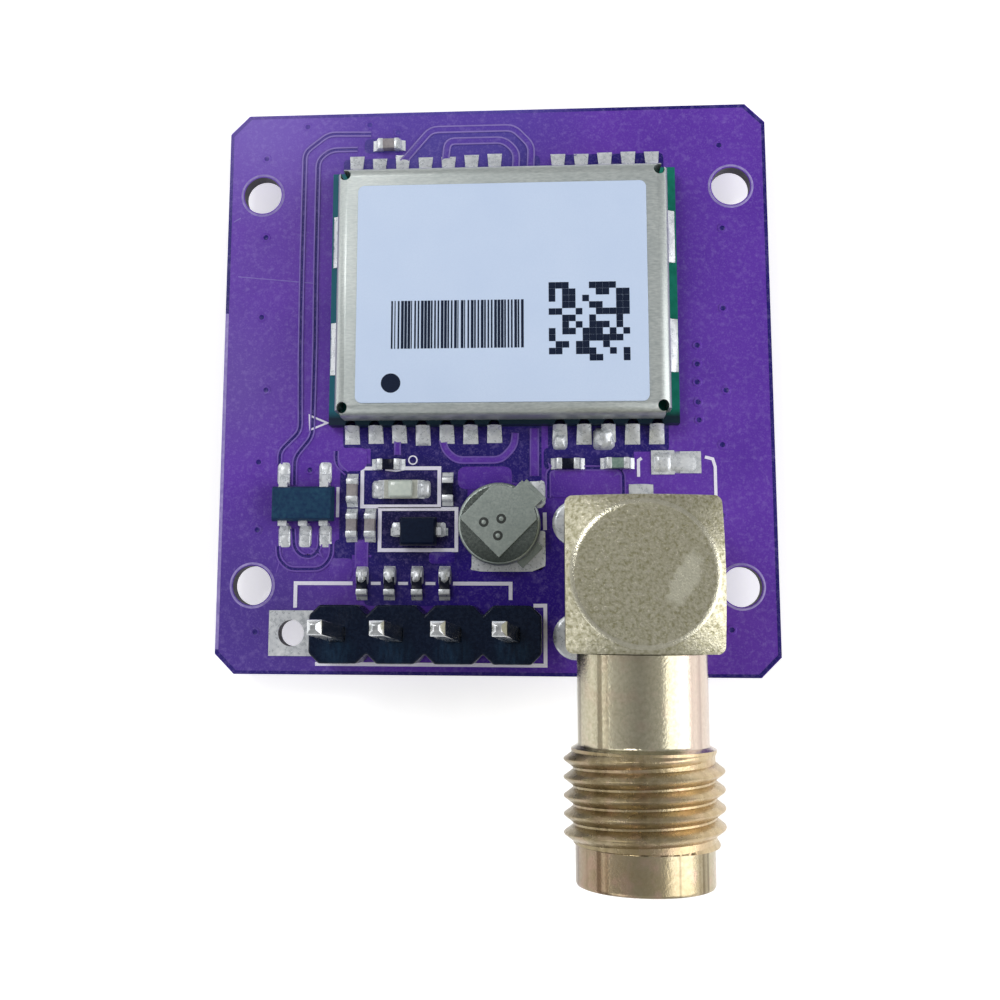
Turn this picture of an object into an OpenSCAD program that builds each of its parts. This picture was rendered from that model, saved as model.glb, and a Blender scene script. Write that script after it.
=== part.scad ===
// Satellite positioning receiver on a square carrier board, with a right-angle coaxial antenna jack.
// Millimetres. The origin is the centre of the mounting hole pattern on the underside of the board,
// +Z points up from the component side and the antenna jack points along -Y.

/* [Circuit board] */
// Width of the board along X
board_w = 25.5; // [25:0.1:30]
// Length of the board along Y
board_l = 26.6; // [26:0.1:32]
// Thickness of the board
board_t = 0.8; // [0.6:0.1:2.4]
// Leg of the corner chamfers
board_chamfer = 0.9; // [0.2:0.1:1.5]
// Diameter of the mounting holes
mount_hole_d = 1.8; // [1.2:0.1:2.4]
// Distance between mounting hole centres along X
mount_pitch_x = 22.2; // [21.5:0.1:22.6]
// Distance between mounting hole centres along Y
mount_pitch_y = 18.6; // [17:0.1:21]

/* [Receiver module] */
// Centre of the module along X
module_x = 0.45; // [-1:0.05:1]
// Centre of the module along Y
module_y = 4; // [3.6:0.1:4.5]
// Width of the module's own board
module_w = 16; // [15.4:0.1:16.6]
// Length of the module's own board
module_l = 12; // [11.6:0.1:12.6]
// Thickness of the module's own board
module_board_t = 0.8; // [0.6:0.1:1.2]
// Distance between neighbouring edge contacts
contact_pitch = 1.1; // [1:0.05:1.15]
// Gap in each row of edge contacts where the two groups part
contact_gap = 3; // [2:0.1:3.2]
// Diameter of the half-round edge contacts
contact_d = 0.5; // [0.3:0.05:0.6]
// Width of the shield can
shield_w = 15.1; // [14:0.1:15.2]
// Length of the shield can
shield_l = 11.6; // [11:0.1:11.8]
// Height of the shield can
shield_h = 1.6; // [1.4:0.1:3]
// Sheet thickness of the shield can
shield_t = 0.2; // [0.1:0.05:0.3]
// Outer bend radius of the shield can
shield_bend_r = 0.5; // [0.35:0.05:0.6]
// Diameter of the relief holes at the shield's folded corners
shield_relief_d = 0.5; // [0.3:0.05:0.8]
// Width of the paper label
label_w = 13.1; // [8:0.1:13.6]
// Length of the paper label
label_l = 10.1; // [6:0.1:10.2]
// Thickness of the paper label
label_t = 0.08; // [0.05:0.01:0.2]
// Corner radius of the paper label
label_corner_r = 0.3; // [0.1:0.1:1]

/* [Antenna jack] */
// Centre of the jack's block along X
jack_x = 6.25; // [6:0.05:6.8]
// Centre of the jack's block along Y
jack_y = -9; // [-9.4:0.1:-8.8]
// Width across the flats of the block
block_size = 6.1; // [5.8:0.1:6.5]
// Height of the block above the board
block_h = 9.2; // [8.8:0.1:10.5]
// Radius of the block's upright corners
block_corner_r = 0.3; // [0.2:0.1:1.2]
// Diameter of the flat that the turned chamfer leaves on top of the block
block_flat_d = 5.55; // [4:0.05:5.8]
// Slope of the turned chamfer from the horizontal, in degrees
block_chamfer_slope = 30; // [15:1:45]
// Height of the barrel's axis above the board
axis_h = 6; // [5.5:0.1:6.2]
// Diameter of the plain neck between block and thread
neck_d = 5.2; // [5:0.05:5.8]
// Length of the plain neck
neck_l = 3.6; // [2:0.1:6]
// Outside diameter of the coupling thread
thread_d = 6.35; // [6:0.05:6.5]
// Length of the threaded stretch
thread_l = 3.8; // [3:0.1:8]
// Diameter of the plain nose in front of the thread
nose_d = 5.45; // [5.2:0.05:5.6]
// Length of the plain nose
nose_l = 1.55; // [1:0.05:2.5]
// Diameter of the spigot pressed into the block
spigot_d = 4.8; // [4.5:0.1:5]
// Length of the spigot pressed into the block
spigot_l = 0.9; // [0.5:0.1:1]
// Diameter of the socket that the mating plug enters
socket_d = 4.6; // [4.3:0.05:4.7]
// Depth of the socket that the mating plug enters
socket_depth = 1.9; // [1.5:0.1:2.5]
// Diameter of the insulators
insulator_d = 4.1; // [3.6:0.1:4.2]
// Diameter of the centre contact
centre_d = 1.27; // [1.1:0.01:1.4]
// Bore of the centre contact
centre_bore_d = 0.95; // [0.8:0.01:1]
// Depth of the bore in the centre contact
centre_bore_l = 2.6; // [2:0.1:3.5]
// Diameter of the pin from the centre contact down through the board
board_pin_d = 1; // [0.7:0.05:1.1]
// Side of the four square legs
leg_size = 1; // [0.8:0.05:1.1]
// Distance between leg centres
leg_pitch = 5.08; // [4.6:0.02:5.1]
// Diameter of the board's holes for the legs
leg_hole_d = 1.6; // [1.6:0.05:1.8]

/* [Pin header] */
// Distance between header pins
pin_pitch = 2.54; // [2.4:0.02:2.54]
// Side of the square header pins
pin_size = 0.64; // [0.4:0.02:0.7]
// First pin of the header along X
header_x = -6.7; // [-7:0.1:-6.6]
// Row of pins along Y
header_y = -11.45; // [-11.6:0.05:-11.4]
// Height of the header's plastic strip
header_h = 2.5; // [2:0.1:3]
// Width of the header's plastic strip
header_w = 2.54; // [2.2:0.02:2.54]
// Length of the pins above the plastic strip
pin_rise = 3; // [2:0.5:8]
// Diameter of the plated header holes
header_hole_d = 1.2; // [1.05:0.05:1.4]
// Length of every pin and leg below the board
tail_l = 1.5; // [1:0.1:3]

/* [Small parts] */
// Width of the voltage regulator's body
regulator_w = 2.9; // [2.6:0.1:3.1]
// Length of the voltage regulator's body, without its leads
regulator_l = 1.6; // [1.4:0.1:1.7]
// Height of the voltage regulator's body
regulator_h = 1; // [0.8:0.1:1.3]
// Width of the diode's body
diode_w = 1.7; // [1.5:0.1:1.8]
// Length of the diode's body
diode_l = 1.3; // [1:0.1:1.4]
// Height of the diode's body
diode_h = 0.85; // [0.6:0.05:1]
// Thickness of the bent leads
lead_t = 0.14; // [0.1:0.02:0.2]
// Length of the small chip parts
chip_l = 1; // [0.8:0.05:1.05]
// Width of the small chip parts
chip_w = 0.5; // [0.4:0.05:0.55]
// Height of the chip capacitors and the coil
capacitor_h = 0.5; // [0.3:0.05:0.6]
// Height of the chip resistors
resistor_h = 0.35; // [0.25:0.05:0.5]
// Length of the indicator lamp's carrier
lamp_l = 1.6; // [1.4:0.1:1.7]
// Width of the indicator lamp's carrier
lamp_w = 0.85; // [0.6:0.05:0.9]
// Diameter of the backup cell
cell_d = 3.7; // [3.5:0.1:4]
// Height of the backup cell
cell_h = 1.1; // [0.9:0.1:2]
// Thickness of the backup cell's welded tabs
tab_t = 0.15; // [0.1:0.05:0.2]

/* [Hidden] */
$fn = 64;

// Cuts run past the faces they open by this much
cut = 1;
// Gold plating of the jack, tin plating and solder, and dark moulded plastic
brass_colour = [0.72, 0.68, 0.54];
tin_colour = [0.78, 0.78, 0.77];
black_colour = [0.07, 0.09, 0.11];

// Receiver module
module_z = board_t + module_board_t;
contacts_left = 7;
contacts_right = 5;
contact_row = [for (k = [0 : contacts_left + contacts_right - 1])
    let (shift = k < contacts_left ? 0 : contact_gap - contact_pitch)
    k * contact_pitch + shift];
contact_span = contact_row[len(contact_row) - 1];
contact_xs = [for (x = contact_row) module_x + x - contact_span / 2];
shield_z = module_z + shield_h;
shield_relief_inset = 0.38;
fold_inset = 0.28;
label_shift = -0.2;
joint_w = 0.7;
near_joint_reach = 0.84;
far_joint_reach = 1.12;
joint_h = 0.65;

// Pieces under the shield, placed from the module's centre
receiver_side = 5;
receiver_h = 0.8;
receiver_notch = 0.5;
receiver_x = -1.2;
receiver_y = 0.4;
oscillator_size = [2, 1.6, 0.8];
oscillator_x = 3.4;
oscillator_y = 1.8;
filter_size = [1.4, 1.1, 0.6];
filter_x = 5.2;
front_end_y = -2.6;
amplifier_size = [1.1, 0.7, 0.4];
amplifier_x = 3.3;
crystal_size = [3.2, 1.5, 0.8];
crystal_x = -5.4;
crystal_y = 2;
lid_inset = 0.15;
inner_chip_count = 6;
inner_chip_pitch = 0.9;
inner_chip_x = -3.4;
inner_chip_y = -3.5;

// Solder along the foot of the shield's short sides, two equal seams on each
seam_h = 0.4;
seam_reach = 0.3;
seam_l = 2.45;
seam_pitch = 5.1;
seam_y = 0.1;

// Antenna jack
axis_z = board_t + axis_h;
block_front_y = jack_y - block_size / 2;
barrel_l = neck_l + thread_l + nose_l;
nose_y = block_front_y - barrel_l;
socket_floor_y = nose_y + socket_depth;
spigot_end_y = block_front_y + spigot_l;
block_reach = block_size * sqrt(2) / 2;
block_chamfer_h = (block_reach - block_flat_d / 2) * tan(block_chamfer_slope);
base_insulator_h = 2.4;
centre_slot_w = 0.2;
edge_c = 0.2;
thread_c = 0.3;
board_pin_room = 0.5;
board_pin_hole_d = board_pin_d + board_pin_room;
leg_spots = [for (x = [-1, 1], y = [-1, 1]) [jack_x + x * leg_pitch / 2, jack_y + y * leg_pitch / 2]];

// Pin header
pin_count = 4;
pin_xs = [for (k = [0 : pin_count - 1]) header_x + k * pin_pitch];
spare_hole_x = header_x - pin_pitch;
strip_corner = 0.45;
pin_tip = 0.2;
solder_h = 0.8;
solder_collar = 0.3;
solder_edge = 0.08;
solder_taper = 0.15;

// Small parts, each seated from the pieces that it stands beside
regulator_x = -8.7;
regulator_y = -5.6;
regulator_lead_pitch = 0.95;
regulator_lead_w = 0.4;
body_lift = 0.08;
body_draft = 0.1;
lead_entry = 0.25;
lead_run = 0.2;
lead_foot = 0.35;
lead_toe = 0.25;
near_row_gap = 0.91;
near_row_y = module_y - module_l / 2 - near_joint_reach - near_row_gap;
lamp_gap = 1.15;
lamp_x = -4.25;
lamp_y = near_row_y - lamp_gap;
lamp_base_h = 0.25;
lamp_lens_h = 0.35;
lamp_lens_l = 1.15;
diode_gap = 1.95;
diode_x = -3.4;
diode_y = lamp_y - diode_gap;
diode_lead_w = 0.35;
diode_foot = 0.15;
diode_toe = 0.12;
supply_gap = 0.75;
supply_pitch = 0.85;
input_supply_y = 0.65;
output_supply_y = -0.95;
far_row_gap = 0.5;
supply_x = regulator_x + regulator_w / 2 + supply_gap;
capacitor_spots = [
    [supply_x, regulator_y + input_supply_y, 90],
    [supply_x, regulator_y + output_supply_y, 90],
    [supply_x + supply_pitch, regulator_y + output_supply_y, 90],
    [-5, module_y + module_l / 2 + far_joint_reach + far_row_gap, 0]
];
pull_up_pitch = 1.26;
pull_up_x = header_x + 0.7;
pull_up_gap = 1;
pull_up_y = header_y + header_w / 2 + pull_up_gap;
pull_ups = [for (k = [0 : 3]) [pull_up_x + k * pull_up_pitch, pull_up_y, 90]];
resistor_spots = concat(pull_ups, [[-2.1, lamp_y, 90], [-4.85, near_row_y, 0], [3.4, near_row_y, 0]]);
coil_spot = [5.65, near_row_y, 0];
chip_end_l = 0.22;
chip_end_rise = 0.02;
fillet_reach = 0.28;
fillet_rise = 0.7;

// Backup cell, closed end up: one tab runs from its top to the upper right,
// the other from below to the lower right
cell_gap = 2.8;
cell_x = 0.3;
cell_y = near_row_y - cell_gap;
cell_turn = 45;
cell_z = board_t + tab_t;
cell_top_z = cell_z + cell_h;
cell_edge_r = 0.15;
cell_rim = 0.28;
cap_lift = 0.08;
cap_recess = 0.3;
gasket_t = 0.12;
tab_gap = 0.1;
top_tab_w = 2.5;
top_tab_shift = 0.17;
top_tab_end = 1.07;
tab_neck_w = 1.25;
tab_foot_l = 0.25;
bottom_tab_w = 1.3;
bottom_tab_end = 1.1;

// Bare tinned pads, as [x, y, width, length]
pad_t = 0.06;
bare_pad_spots = [
    [7.7, near_row_y + 0.05, 1.05, 1.1],
    [8.95, near_row_y + 0.05, 0.95, 1],
    [6.7, jack_y + block_size / 2 + 0.95, 1.1, 0.6]
];
spare_pad_size = 2.05;

// Rectangle with round corners, centred
module rounded_rect(w, l, r) {
    square([w - 2 * r, l], center = true);
    square([w, l - 2 * r], center = true);
    for (x = [-1, 1], y = [-1, 1])
        translate([x * (w / 2 - r), y * (l / 2 - r)]) circle(r);
}

// Bend and wall of one side of the shield can, l long along Y, starting from the flat top's edge at X = 0
module folded_side(l) {
    r = shield_bend_r;
    rotate([90, 0, 0]) linear_extrude(l, center = true) {
        translate([r - shield_t, 0]) square([shield_t, shield_h - r]);
        translate([0, shield_h - r]) intersection() {
            difference() {
                circle(r);
                circle(r - shield_t);
            }
            square(r);
        }
    }
}

// Moulded body, widest at its parting line half-way up
module moulded_body(w, l, h) {
    function side(s) = [
        [-s / 2 + body_draft, 0], [s / 2 - body_draft, 0], [s / 2, h / 2],
        [s / 2 - body_draft, h], [-s / 2 + body_draft, h], [-s / 2, h / 2]
    ];
    intersection() {
        rotate([90, 0, 0]) linear_extrude(l + 2 * cut, center = true) polygon(side(w));
        rotate([90, 0, 90]) linear_extrude(w + 2 * cut, center = true) polygon(side(l));
    }
}

// Bent lead leaving a body's side at half height, along +Y from the body's centre
module bent_lead(body_l, body_h, w, foot) {
    side_y = body_l / 2;
    lead_z = body_lift + body_h / 2 - lead_t / 2;
    rotate([90, 0, 90]) linear_extrude(w, center = true) polygon([
        [side_y - lead_entry, lead_z],
        [side_y + lead_run - lead_t, lead_z],
        [side_y + lead_run - lead_t, 0],
        [side_y + lead_run + foot, 0],
        [side_y + lead_run + foot, lead_t],
        [side_y + lead_run, lead_t],
        [side_y + lead_run, lead_z + lead_t],
        [side_y - lead_entry, lead_z + lead_t]
    ]);
}

// Sloping solder fillet, w wide along X, with its foot running along +Y
module fillet(w, reach, h) {
    rotate([90, 0, 90]) linear_extrude(w, center = true) polygon([
        [0, 0], [reach, 0], [reach * 0.95, h * 0.14], [reach * 0.4, h * 0.4], [h * 0.15, h], [0, h]
    ]);
}

// Two-ended chip part lying along X
module chip(h) {
    body_w = chip_w - 2 * chip_end_rise;
    translate([-chip_l / 2 + chip_end_l, -body_w / 2, 0])
        cube([chip_l - 2 * chip_end_l, body_w, h - chip_end_rise]);
    for (x = [-chip_l / 2, chip_l / 2 - chip_end_l])
        translate([x, -chip_w / 2, 0]) cube([chip_end_l, chip_w, h]);
}

module on_board(spot) {
    translate([spot[0], spot[1], board_t]) rotate([0, 0, spot[2]]) children();
}

// Solder at a tail below the board: a collar under the board and the fill of the plated hole
module tail_solder(hole_d) {
    rotate_extrude() polygon([
        [0, board_t], [hole_d / 2, board_t], [hole_d / 2, 0], [hole_d / 2 + solder_collar, 0],
        [hole_d / 2 + solder_collar, -solder_edge], [hole_d / 2, -solder_h / 2],
        [hole_d / 2 - solder_taper, -solder_h], [0, -solder_h]
    ]);
}

// Square pin with four-sided points at both ends
module header_pin(x) {
    top = board_t + header_h + pin_rise;
    s = pin_size / 2;
    side = [
        [-s, -tail_l + pin_tip], [-s + pin_tip, -tail_l], [s - pin_tip, -tail_l], [s, -tail_l + pin_tip],
        [s, top - pin_tip], [s - pin_tip, top], [-s + pin_tip, top], [-s, top - pin_tip]
    ];
    color(tin_colour) translate([x, header_y, 0]) intersection() {
        rotate([90, 0, 0]) linear_extrude(pin_size, center = true) polygon(side);
        rotate([90, 0, 90]) linear_extrude(pin_size, center = true) polygon(side);
    }
}

module circuit_board() {
    w = board_w / 2;
    l = board_l / 2;
    c = board_chamfer;
    color([0.35, 0.24, 0.58]) linear_extrude(board_t) difference() {
        polygon([
            [-w + c, -l], [w - c, -l], [w, -l + c], [w, l - c],
            [w - c, l], [-w + c, l], [-w, l - c], [-w, -l + c]
        ]);
        for (x = [-1, 1], y = [-1, 1])
            translate([x * mount_pitch_x / 2, y * mount_pitch_y / 2]) circle(d = mount_hole_d);
        for (x = concat([spare_hole_x], pin_xs))
            translate([x, header_y]) circle(d = header_hole_d);
        for (spot = leg_spots)
            translate(spot) circle(d = leg_hole_d);
        translate([jack_x, jack_y]) circle(d = board_pin_hole_d);
    }
}

module module_board() {
    color([0.1, 0.42, 0.35]) translate([0, 0, board_t]) linear_extrude(module_board_t) difference() {
        translate([module_x, module_y]) square([module_w, module_l], center = true);
        for (x = contact_xs, side = [-1, 1])
            translate([x, module_y + side * module_l / 2]) circle(d = contact_d);
    }
}

// Can folded from one cross-shaped sheet, with a relief hole where two folds meet
module module_shield() {
    flat_w = shield_w - 2 * shield_bend_r;
    flat_l = shield_l - 2 * shield_bend_r;
    relief_x = shield_w / 2 - shield_relief_inset;
    relief_y = shield_l / 2 - shield_relief_inset;
    color([0.6, 0.62, 0.62]) translate([module_x, module_y, module_z]) difference() {
        union() {
            translate([-flat_w / 2, -flat_l / 2, shield_h - shield_t]) cube([flat_w, flat_l, shield_t]);
            for (turn = [0, 180]) {
                rotate([0, 0, turn]) translate([flat_w / 2, 0, 0])
                    folded_side(shield_l - 2 * fold_inset);
                rotate([0, 0, turn + 90]) translate([flat_l / 2, 0, 0])
                    folded_side(shield_w - 2 * fold_inset);
            }
        }
        for (x = [-1, 1], y = [-1, 1])
            translate([x * relief_x, y * relief_y, -cut])
                cylinder(h = shield_h + 2 * cut, d = shield_relief_d);
    }
}

module module_label() {
    color([0.85, 0.88, 0.94]) translate([module_x, module_y + label_shift, shield_z])
        linear_extrude(label_t) rounded_rect(label_w, label_l, label_corner_r);
}

// Places a piece on the module's own board, measured from the module's centre
module on_module(x, y) {
    translate([module_x + x, module_y + y, module_z]) children();
}

module module_receiver_chip() {
    color(black_colour) on_module(receiver_x, receiver_y) linear_extrude(receiver_h) difference() {
        square(receiver_side, center = true);
        translate([-receiver_side / 2, receiver_side / 2]) rotate(45) square(receiver_notch, center = true);
    }
}

// Plain block of [width, length, height], centred on its foot
module block_on_foot(size) {
    translate([-size[0] / 2, -size[1] / 2, 0]) cube(size);
}

// Ceramic package with a smaller metal lid
module lidded_package(size) {
    block_on_foot([size[0], size[1], size[2] * 0.6]);
    block_on_foot([size[0] - 2 * lid_inset, size[1] - 2 * lid_inset, size[2]]);
}

module module_oscillator() {
    color([0.75, 0.72, 0.6]) on_module(oscillator_x, oscillator_y) lidded_package(oscillator_size);
}

module module_filter() {
    color([0.8, 0.75, 0.6]) on_module(filter_x, front_end_y) lidded_package(filter_size);
}

module module_amplifier() {
    color(black_colour) on_module(amplifier_x, front_end_y) block_on_foot(amplifier_size);
}

module module_clock_crystal() {
    color([0.8, 0.8, 0.8]) on_module(crystal_x, crystal_y) rotate([0, 0, 90]) lidded_package(crystal_size);
}

module module_chip_parts() {
    color([0.66, 0.58, 0.46]) for (k = [0 : inner_chip_count - 1])
        on_module(inner_chip_x + k * inner_chip_pitch, inner_chip_y) rotate([0, 0, 90]) chip(resistor_h);
}

module module_solder_joints() {
    color(tin_colour) for (x = contact_xs, side = [-1, 1])
        translate([x, module_y + side * module_l / 2, board_t]) {
            rotate([0, 0, side > 0 ? 0 : 180])
                fillet(joint_w, side > 0 ? far_joint_reach : near_joint_reach, joint_h);
            cylinder(h = joint_h, d = contact_d);
        }
}

module shield_solder() {
    color(tin_colour) for (side = [-1, 1], along = [-seam_pitch / 2, seam_pitch / 2])
        translate([module_x + side * shield_w / 2, module_y + seam_y + along, module_z])
            rotate([0, 0, -90 * side]) fillet(seam_l, seam_reach, seam_h);
}

// Upright outline of the jack's block, cut to its four legs below the board's upper face
module block_outline() {
    translate([jack_x, jack_y]) rounded_rect(block_size, block_size, block_corner_r);
}

module leg_outline() {
    intersection() {
        block_outline();
        for (spot = leg_spots)
            translate(spot) square(leg_size, center = true);
    }
}

module jack_legs() {
    translate([0, 0, -tail_l]) linear_extrude(tail_l + board_t) leg_outline();
}

module jack_block() {
    shoulder_z = board_t + block_h - block_chamfer_h;
    color(brass_colour) {
        difference() {
            intersection() {
                translate([0, 0, board_t]) linear_extrude(block_h) block_outline();
                union() {
                    translate([jack_x, jack_y, board_t])
                        cylinder(h = block_h - block_chamfer_h, r = block_reach);
                    translate([jack_x, jack_y, shoulder_z])
                        cylinder(h = block_chamfer_h, r1 = block_reach, r2 = block_flat_d / 2);
                }
            }
            translate([jack_x, jack_y, board_t - cut]) cylinder(h = axis_h + cut, d = insulator_d);
            translate([jack_x, block_front_y - cut, axis_z]) rotate([-90, 0, 0])
                cylinder(h = block_size / 2 + insulator_d / 2 + cut, d = insulator_d);
            translate([jack_x, block_front_y - cut, axis_z]) rotate([-90, 0, 0])
                cylinder(h = spigot_l + cut, d = spigot_d);
        }
        jack_legs();
    }
}

// Turned barrel, drawn as radius against distance from its front end
module jack_barrel() {
    thread_start = nose_l;
    thread_end = nose_l + thread_l;
    neck_end = barrel_l;
    spigot_end = barrel_l + spigot_l;
    color(brass_colour) translate([jack_x, nose_y, axis_z]) rotate([-90, 0, 0]) rotate_extrude() polygon([
        [socket_d / 2 + edge_c / 2, 0], [nose_d / 2 - edge_c, 0], [nose_d / 2, edge_c],
        [nose_d / 2, thread_start], [thread_d / 2 - thread_c, thread_start],
        [thread_d / 2, thread_start + thread_c], [thread_d / 2, thread_end - thread_c],
        [thread_d / 2 - thread_c, thread_end], [neck_d / 2, thread_end], [neck_d / 2, neck_end],
        [spigot_d / 2, neck_end], [spigot_d / 2, spigot_end], [insulator_d / 2, spigot_end],
        [insulator_d / 2, socket_depth], [socket_d / 2, socket_depth], [socket_d / 2, edge_c / 2]
    ]);
}

module jack_insulator() {
    color([0.93, 0.93, 0.9]) translate([jack_x, socket_floor_y, axis_z]) rotate([-90, 0, 0]) difference() {
        cylinder(h = spigot_end_y - socket_floor_y, d = insulator_d);
        translate([0, 0, -cut]) cylinder(h = spigot_end_y - socket_floor_y + 2 * cut, d = centre_d);
    }
}

// Centre contact: a slit socket in front, and a saddle behind where the board pin is soldered in
module jack_socket_contact() {
    slit_l = centre_bore_l * 0.8;
    color([0.85, 0.7, 0.35]) difference() {
        translate([jack_x, socket_floor_y, axis_z]) rotate([-90, 0, 0]) difference() {
            cylinder(h = jack_y - socket_floor_y, d = centre_d);
            translate([0, 0, -cut]) cylinder(h = centre_bore_l + cut, d = centre_bore_d);
            for (turn = [45, 135])
                rotate([0, 0, turn]) translate([-centre_d, -centre_slot_w / 2, -cut])
                    cube([2 * centre_d, centre_slot_w, slit_l + cut]);
        }
        translate([jack_x, jack_y, board_t]) cylinder(h = axis_h + 2 * centre_d, d = board_pin_d);
    }
}

module jack_board_pin() {
    color([0.85, 0.7, 0.35]) translate([jack_x, jack_y, -tail_l])
        cylinder(h = tail_l + axis_z + centre_d / 2, d = board_pin_d);
}

module jack_base_insulator() {
    color([0.93, 0.93, 0.9]) translate([jack_x, jack_y, board_t]) difference() {
        cylinder(h = base_insulator_h, d = insulator_d);
        translate([0, 0, -cut]) cylinder(h = base_insulator_h + 2 * cut, d = board_pin_d);
    }
}

module jack_solder_joints() {
    color(tin_colour) difference() {
        union() {
            for (spot = leg_spots)
                translate(spot) tail_solder(leg_hole_d);
            translate([jack_x, jack_y]) tail_solder(board_pin_hole_d);
        }
        jack_legs();
        translate([jack_x, jack_y, -tail_l]) cylinder(h = tail_l + board_t + cut, d = board_pin_d);
    }
}

module header_strip() {
    strip_l = pin_count * pin_pitch;
    w = header_w / 2;
    s = pin_pitch / 2;
    c = strip_corner;
    color(black_colour) translate([0, header_y, board_t]) linear_extrude(header_h) difference() {
        union() {
            for (x = pin_xs)
                translate([x, 0]) polygon([
                    [-s + c, -w], [s - c, -w], [s, -w + c], [s, w - c],
                    [s - c, w], [-s + c, w], [-s, w - c], [-s, -w + c]
                ]);
            translate([header_x - s + c, -w + c]) square([strip_l - 2 * c, 2 * (w - c)]);
        }
        for (x = pin_xs)
            translate([x, 0]) square(pin_size, center = true);
    }
}

module header_solder_joints() {
    color(tin_colour) for (x = pin_xs)
        translate([x, header_y]) difference() {
            tail_solder(header_hole_d);
            translate([-pin_size / 2, -pin_size / 2, -tail_l])
                cube([pin_size, pin_size, tail_l + board_t + cut]);
        }
}

// Two leads along +Y and three along -Y, in the regulator's own place
module regulator_lead_set() {
    for (k = [-1, 1])
        translate([k * regulator_lead_pitch, 0, 0])
            bent_lead(regulator_l, regulator_h, regulator_lead_w, lead_foot);
    for (k = [-1, 0, 1])
        translate([k * regulator_lead_pitch, 0, 0]) rotate([0, 0, 180])
            bent_lead(regulator_l, regulator_h, regulator_lead_w, lead_foot);
}

module regulator_leads() {
    color(tin_colour) translate([regulator_x, regulator_y, board_t]) regulator_lead_set();
}

module regulator_body() {
    color(black_colour) translate([regulator_x, regulator_y, board_t]) difference() {
        translate([0, 0, body_lift]) moulded_body(regulator_w, regulator_l, regulator_h);
        regulator_lead_set();
    }
}

module diode_lead_set() {
    for (turn = [90, -90])
        rotate([0, 0, turn]) bent_lead(diode_w, diode_h, diode_lead_w, diode_foot);
}

module diode_leads() {
    color(tin_colour) translate([diode_x, diode_y, board_t]) diode_lead_set();
}

module diode_body() {
    color(black_colour) translate([diode_x, diode_y, board_t]) difference() {
        translate([0, 0, body_lift]) moulded_body(diode_w, diode_l, diode_h);
        diode_lead_set();
    }
}

module lamp_carrier() {
    color([0.8, 0.8, 0.72]) translate([lamp_x - lamp_l / 2, lamp_y - lamp_w / 2, board_t])
        cube([lamp_l, lamp_w, lamp_base_h]);
}

module lamp_lens() {
    color([0.86, 0.9, 0.78]) translate([lamp_x, lamp_y, board_t + lamp_base_h])
        moulded_body(lamp_lens_l, lamp_w, lamp_lens_h);
}

module at_cell() {
    translate([cell_x, cell_y, 0]) rotate([0, 0, cell_turn]) children();
}

// Can with a rounded upper edge, open below for the gasket and the cap
module cell_can() {
    can_h = cell_h - cap_lift;
    r = cell_d / 2;
    color([0.58, 0.6, 0.57]) at_cell() translate([0, 0, cell_z + cap_lift]) rotate_extrude() difference() {
        union() {
            square([r - cell_edge_r, can_h]);
            square([r, can_h - cell_edge_r]);
            translate([r - cell_edge_r, can_h - cell_edge_r]) circle(cell_edge_r);
        }
        translate([-cut, -cut]) square([r - cell_rim + cut, cap_recess + cut]);
    }
}

module cell_gasket() {
    color([0.2, 0.22, 0.22]) at_cell() translate([0, 0, cell_z + cap_lift]) difference() {
        cylinder(h = cap_recess, d = cell_d - 2 * cell_rim);
        translate([0, 0, -cut]) cylinder(h = cap_recess + 2 * cut, d = cell_d - 2 * cell_rim - 2 * gasket_t);
    }
}

module cell_cap() {
    color([0.56, 0.59, 0.57]) at_cell() translate([0, 0, cell_z])
        cylinder(h = cap_lift + cap_recess, d = cell_d - 2 * cell_rim - 2 * gasket_t);
}

// Strip welded on top of the cell, stepping down to its pad beyond the rim
module cell_top_tab() {
    drop_x = cell_d / 2 + tab_gap;
    color([0.6, 0.62, 0.6]) at_cell() {
        translate([0, 0, cell_top_z]) linear_extrude(tab_t) {
            intersection() {
                circle(d = cell_d - 2 * cell_edge_r);
                translate([-top_tab_end, top_tab_shift - top_tab_w / 2]) square([cell_d, top_tab_w]);
            }
            translate([0, -tab_neck_w / 2]) square([drop_x + tab_t, tab_neck_w]);
        }
        translate([drop_x, -tab_neck_w / 2, board_t]) cube([tab_t, tab_neck_w, cell_top_z - board_t + tab_t]);
        translate([drop_x, -tab_neck_w / 2, board_t]) cube([tab_t + tab_foot_l, tab_neck_w, tab_t]);
    }
}

module cell_bottom_tab() {
    tab_l = bottom_tab_end + cell_d / 2 + tab_foot_l;
    color([0.6, 0.62, 0.6]) at_cell() rotate([0, 0, -90])
        translate([-bottom_tab_end, -bottom_tab_w / 2, board_t]) cube([tab_l, bottom_tab_w, tab_t]);
}

module capacitor(k) {
    color([0.66, 0.6, 0.5]) on_board(capacitor_spots[k]) chip(capacitor_h);
}

module resistor(k) {
    color(black_colour) on_board(resistor_spots[k]) chip(resistor_h);
}

module coil() {
    color([0.42, 0.52, 0.44]) on_board(coil_spot) chip(capacitor_h);
}

// Fillets at both ends of a part lying along X
module end_fillets(l, w, h) {
    for (turn = [-90, 90])
        rotate([0, 0, turn]) translate([0, l / 2, 0]) fillet(w, fillet_reach, h * fillet_rise);
}

module chip_solder() {
    color(tin_colour) {
        for (spot = concat(capacitor_spots, [coil_spot]))
            on_board(spot) end_fillets(chip_l, chip_w, capacitor_h);
        for (spot = resistor_spots)
            on_board(spot) end_fillets(chip_l, chip_w, resistor_h);
        on_board([lamp_x, lamp_y, 0]) end_fillets(lamp_l, lamp_w, lamp_base_h);
    }
}

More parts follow.
